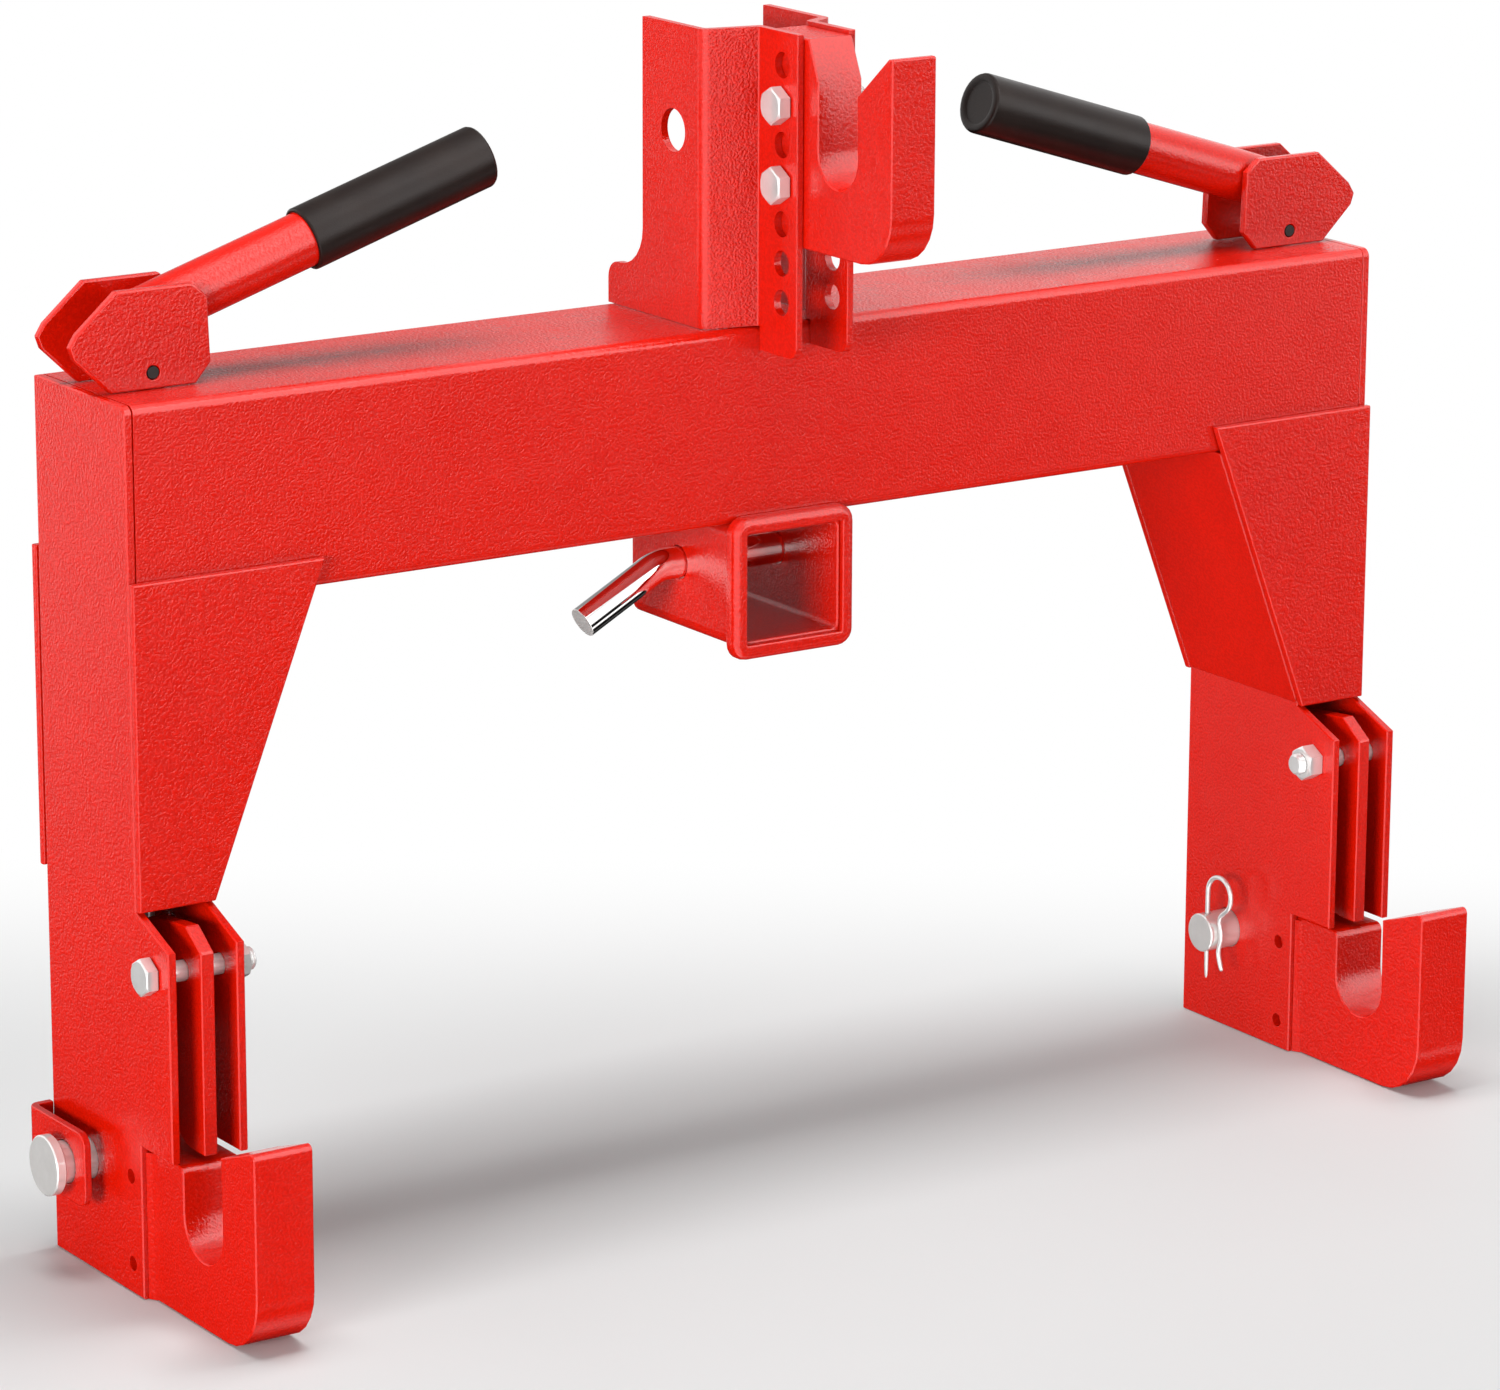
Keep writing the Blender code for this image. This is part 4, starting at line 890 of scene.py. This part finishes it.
@dataclass
class Tower:
    """The two tower plates and the top hook with its bolts."""

    shop: Workshop
    plate_edge: float = 0.0004
    slant: float = 0.05             # a web's normal leans at least this far along X
    land_depth: float = 0.002       # faces this close to the hook's top belong to it
    thread: Thread = Thread(radius=0.0055)

    def build(self) -> None:
        """Dress the tower; the slanted webs show the coarsest paint, and the hook's top land a slightly
        darker red that is painted shade.
        """
        for word in ("left", "right"):
            self.shop.painted(f"tower_{word}_plate", edge=self.plate_edge, accents={
                "coarse": lambda face: face.normal.y < -FACING and abs(face.normal.x) > self.slant,
            })
        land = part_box("top_hook")[1].z - self.land_depth
        self.shop.painted("top_hook", accents={
            "bench": lambda face: face.normal.z > FACING and face.calc_center_median().z > land,
        })
        for word in ("upper", "lower"):
            bolt = f"top_hook_{word}_bolt"
            self.shop.hexed(bolt, -1.0)
            self.shop.hexed(f"top_hook_{word}_nut", 1.0)
            self.shop.add_thread(f"{bolt}_thread", bolt, 1.0, self.thread)


# Studio

@dataclass(frozen=True)
class Ramp:
    """A smooth step: start up to low, and end from high on."""

    low: float
    high: float
    start: float
    end: float


@dataclass(frozen=True)
class Lamp:
    """A rectangular soft box: width and height in metres, power in watts."""

    name: str
    place: Point
    aim: Point
    size: tuple[float, float]
    power: float


@dataclass(frozen=True)
class Reflections:
    """What polished faces see round them, by direction.

    Angles are in degrees. Rise counts up from level. Across counts from the heading of
    the dark flag, and turn from -Y towards +X, both within a half turn.
    """

    flag_turn: float = 34.0
    flag_across: Ramp = Ramp(0.0, 18.0, 1.0, 0.0)
    flag_rise: Ramp = Ramp(-4.0, 6.0, 1.0, 0.0)
    front_rise: Ramp = Ramp(-14.5, -9.0, 0.01, 4.0)
    front_across: Ramp = Ramp(12.0, 30.0, 1.0, 0.25)
    floor_rise: Ramp = Ramp(-70.0, -45.0, 1.0, 0.0)
    box_foot: Ramp = Ramp(44.0, 49.0, 0.0, 1.6)         # soft box over the camera
    box_head: Ramp = Ramp(53.0, 58.0, 1.0, 0.0)
    low_foot: Ramp = Ramp(-37.0, -32.0, 0.0, 1.6)       # narrow strip box below the camera
    low_head: Ramp = Ramp(-29.0, -24.0, 1.0, 0.0)
    strip_across: Ramp = Ramp(55.0, 80.0, 0.0, 1.8)     # upright strip box on the camera's left
    strip_rise: Ramp = Ramp(10.0, 30.0, 1.0, 0.0)
    back_rise: Ramp = Ramp(-19.0, -13.5, 0.04, 1.7)
    back_across: Ramp = Ramp(12.0, 30.0, 1.0, 0.5)
    back_top: Ramp = Ramp(0.0, 9.0, 1.0, 0.0)
    glow_turn: Ramp = Ramp(139.0, 151.0, 1.15, 0.30)    # seen in the faces that look up
    glow_rise: Ramp = Ramp(0.0, 9.0, 0.0, 1.0)
    behind: Ramp = Ramp(-0.2, 0.2, 0.0, 1.0)            # from the front to the back, along Y


class Sums:
    """Math nodes of one tree."""

    def __init__(self, tree: bpy.types.NodeTree) -> None:
        """Keep the tree."""
        self.tree = tree

    def math(self, operation: str, *inputs: bpy.types.NodeSocket | float) -> bpy.types.NodeSocket:
        """Add a Math node.

        Args:
            operation: What it does.
            inputs: Sockets and plain numbers, in order.

        Returns:
            Its result.
        """
        links = {number: item for number, item in enumerate(inputs) if not isinstance(item, float)}
        values = {number: item for number, item in enumerate(inputs) if isinstance(item, float)}
        node = add_node(self.tree, "ShaderNodeMath", links, values, operation=operation)
        return node.outputs["Value"]

    def ramp(self, value: bpy.types.NodeSocket, ramp: Ramp) -> bpy.types.NodeSocket:
        """Add a smooth step.

        Args:
            value: What it reads.
            ramp: Its ends.

        Returns:
            Its result.
        """
        node = add_node(self.tree, "ShaderNodeMapRange", {"Value": value}, {
            "From Min": ramp.low, "From Max": ramp.high, "To Min": ramp.start, "To Max": ramp.end,
        }, interpolation_type="SMOOTHSTEP")
        return node.outputs["Result"]

    def band(self, first: bpy.types.NodeSocket, first_ramp: Ramp, second: bpy.types.NodeSocket,
             second_ramp: Ramp) -> bpy.types.NodeSocket:
        """Multiply two smooth steps.

        Args:
            first: What the first step reads.
            first_ramp: Its ends.
            second: What the second step reads.
            second_ramp: Its ends.

        Returns:
            Their product.
        """
        return self.math("MULTIPLY", self.ramp(first, first_ramp), self.ramp(second, second_ramp))


@dataclass
class Studio:
    """Floor, backdrop, lamps and the photograph's camera."""

    eye: Point = (-1.61698, -2.38483, 1.00253)
    heading: float = math.radians(33.742)       # from +Y towards +X
    dip: float = math.radians(14.792)
    roll: float = math.radians(0.205)
    lens: float = 146.19
    sensor: float = 36.0
    clip: tuple[float, float] = (0.05, 200.0)
    floor_size: float = 60.0
    floor_drop: float = 0.0004
    floor_tone: Color = (0.82, 0.83, 0.83)
    floor_roughness: float = 0.60
    floor_specular: float = 0.2
    fade_behind: Ramp = Ramp(0.12, 0.55, 0.0, 1.0)      # along the heading
    fade_around: Ramp = Ramp(0.55, 1.30, 0.0, 1.0)      # from the middle of the object
    fill: float = 0.24                                  # even light from all round
    reflections: Reflections = Reflections()
    lamps: tuple[Lamp, ...] = (
        Lamp("top", (0.0, 0.0, 2.4), (0.0, 0.03, 0.2), (2.0, 0.8), 39.0),
        Lamp("left", (-4.6, -1.9, 0.9), (0.0, 0.0, 0.25), (2.2, 1.2), 150.0),
        Lamp("front", (0.9, -3.6, 0.9), (0.0, 0.0, 0.2), (1.8, 1.2), 24.0),
    )

    def add_camera(self) -> None:
        """Place the camera where the photograph was taken from."""
        level = math.cos(self.dip)
        forward = Vector((math.sin(self.heading) * level, math.cos(self.heading) * level,
                          -math.sin(self.dip)))
        right = Vector((math.cos(self.heading), -math.sin(self.heading), 0.0))
        up = right.cross(forward)
        across = right * math.cos(self.roll) + up * math.sin(self.roll)
        over = up * math.cos(self.roll) - right * math.sin(self.roll)
        data = bpy.data.cameras.new("camera")
        data.lens = self.lens
        data.sensor_width = self.sensor
        data.clip_start, data.clip_end = self.clip
        camera = bpy.data.objects.new("camera", data)
        turn = Matrix((across, over, -forward)).transposed()
        camera.matrix_world = Matrix.Translation(self.eye) @ turn.to_4x4()
        bpy.context.scene.collection.objects.link(camera)
        bpy.context.scene.camera = camera

    def add_floor(self) -> None:
        """Lay the pale floor, which keeps the object's shadow."""
        bm = bmesh.new()
        bmesh.ops.create_grid(bm, x_segments=1, y_segments=1, size=self.floor_size / 2)
        bmesh.ops.translate(bm, verts=bm.verts, vec=(0.0, 0.0, -self.floor_drop))
        mesh = bpy.data.meshes.new("floor")
        bm.to_mesh(mesh)
        bm.free()
        mesh.materials.append(self.make_floor_paint())
        floor = bpy.data.objects.new("floor", mesh)
        bpy.context.scene.collection.objects.link(floor)
        floor.visible_glossy = False            # reflections see the world's studio instead

    def make_floor_paint(self) -> bpy.types.Material:
        """Make the floor's material, which fades into the white backdrop.

        Returns:
            The material.
        """
        material = bpy.data.materials.new("pale_floor")
        material.use_nodes = True
        tree = material.node_tree
        sums = Sums(tree)
        shader = tree.nodes["Principled BSDF"]
        shader.inputs["Base Color"].default_value = (*self.floor_tone, 1.0)
        shader.inputs["Roughness"].default_value = self.floor_roughness
        shader.inputs["Specular IOR Level"].default_value = self.floor_specular
        spot = add_node(tree, "ShaderNodeTexCoord").outputs["Object"]
        axis = Vector((math.sin(self.heading), math.cos(self.heading), 0.0))
        depth = add_node(tree, "ShaderNodeVectorMath", {0: spot}, {1: axis}, operation="DOT_PRODUCT")
        reach = add_node(tree, "ShaderNodeVectorMath", {0: spot}, operation="LENGTH")
        fade = sums.math("MAXIMUM", sums.ramp(depth.outputs["Value"], self.fade_behind),
                         sums.ramp(reach.outputs["Value"], self.fade_around))
        path = add_node(tree, "ShaderNodeLightPath")
        mirrored = sums.math("MAXIMUM", path.outputs["Is Glossy Ray"], path.outputs["Is Transmission Ray"])
        seen = sums.math("MAXIMUM", path.outputs["Is Camera Ray"], mirrored)
        white = add_node(tree, "ShaderNodeEmission", values={"Color": (1.0, 1.0, 1.0, 1.0), "Strength": 1.0})
        mixed = add_node(tree, "ShaderNodeMixShader", {
            0: sums.math("MULTIPLY", seen, fade), 1: shader.outputs["BSDF"], 2: white.outputs["Emission"],
        })
        tree.links.new(mixed.outputs["Shader"], tree.nodes["Material Output"].inputs["Surface"])
        return material

    def add_world(self) -> None:
        """White to the eye, an even fill for the object, and a studio that only reflections see."""
        world = bpy.data.worlds.new("studio")
        world.use_nodes = True
        tree = world.node_tree
        tree.nodes.clear()
        sums = Sums(tree)
        path = add_node(tree, "ShaderNodeLightPath")
        bounced = sums.math("MAXIMUM", path.outputs["Is Glossy Ray"], path.outputs["Is Transmission Ray"])
        level = add_node(tree, "ShaderNodeMix", {"Factor": bounced, "B": self.add_reflections(sums)},
                         {"A": self.fill})
        level = add_node(tree, "ShaderNodeMix", {
            "Factor": path.outputs["Is Camera Ray"], "A": level.outputs["Result"],
        }, {"B": 1.0})
        backdrop = add_node(tree, "ShaderNodeBackground", {"Strength": level.outputs["Result"]},
                            {"Color": (1.0, 1.0, 1.0, 1.0)})
        output = add_node(tree, "ShaderNodeOutputWorld")
        tree.links.new(backdrop.outputs["Background"], output.inputs["Surface"])
        bpy.context.scene.world = world

    def add_reflections(self, sums: Sums) -> bpy.types.NodeSocket:
        """Work out how bright the studio is in a direction.

        Args:
            sums: Math nodes of the world's tree.

        Returns:
            The brightness.
        """
        look = self.reflections
        coords = add_node(sums.tree, "ShaderNodeTexCoord")
        view = add_node(sums.tree, "ShaderNodeSeparateXYZ", {"Vector": coords.outputs["Generated"]})
        rise = sums.math("DEGREES", sums.math("ARCSINE", view.outputs["Z"]))
        nearer = sums.math("MULTIPLY", view.outputs["Y"], -1.0)
        turn = sums.math("DEGREES", sums.math("ARCTAN2", view.outputs["X"], nearer))
        turn = sums.math("FLOORED_MODULO", turn, 180.0)
        across = sums.math("ABSOLUTE", sums.math("SUBTRACT", turn, look.flag_turn))
        flag = sums.band(across, look.flag_across, rise, look.flag_rise)
        front = sums.band(rise, look.front_rise, across, look.front_across)
        for light in (sums.ramp(rise, look.floor_rise),
                      sums.band(rise, look.box_foot, rise, look.box_head),
                      sums.band(rise, look.low_foot, rise, look.low_head),
                      sums.band(across, look.strip_across, rise, look.strip_rise)):
            front = sums.math("ADD", front, light)
        back = sums.band(rise, look.back_rise, across, look.back_across)
        back = sums.math("MULTIPLY", back, sums.ramp(rise, look.back_top))
        back = sums.math("ADD", back, sums.band(turn, look.glow_turn, rise, look.glow_rise))
        studio = add_node(sums.tree, "ShaderNodeMix", {
            "Factor": sums.ramp(view.outputs["Y"], look.behind), "A": front, "B": back,
        })
        return sums.math("MULTIPLY", studio.outputs["Result"], sums.math("SUBTRACT", 1.0, flag))

    def add_lamp(self, lamp: Lamp) -> None:
        """Hang a soft box, which reflections don't see.

        Args:
            lamp: Its place, size and power.
        """
        data = bpy.data.lights.new(lamp.name, "AREA")
        data.shape = "RECTANGLE"
        data.size, data.size_y = lamp.size
        data.energy = lamp.power
        item = bpy.data.objects.new(lamp.name, data)
        item.location = lamp.place
        item.rotation_mode = "QUATERNION"
        item.rotation_quaternion = (Vector(lamp.aim) - Vector(lamp.place)).to_track_quat("-Z", "Y")
        item.visible_glossy = False
        bpy.context.scene.collection.objects.link(item)

    def build(self) -> None:
        """Set the whole studio up."""
        self.add_camera()
        self.add_floor()
        self.add_world()
        for lamp in self.lamps:
            self.add_lamp(lamp)
        bpy.context.scene.view_settings.view_transform = "Standard"


def main() -> None:
    """Build the dressed hitch and its studio."""
    logging.basicConfig(level=logging.INFO, format="%(name)s: %(message)s")
    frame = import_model()
    shop = Workshop(frame, Palette())
    parts: list[Any] = [Crossbeam(shop), Receiver(shop), Tower(shop)]
    for side in Side:
        parts += [Leg(shop, side), LinkPin(shop, side), Handle(shop, side)]
    for part in parts:
        part.build()
    Studio().build()
    log.info("%d pieces", shop.count)


if __name__ == "__main__":
    main()
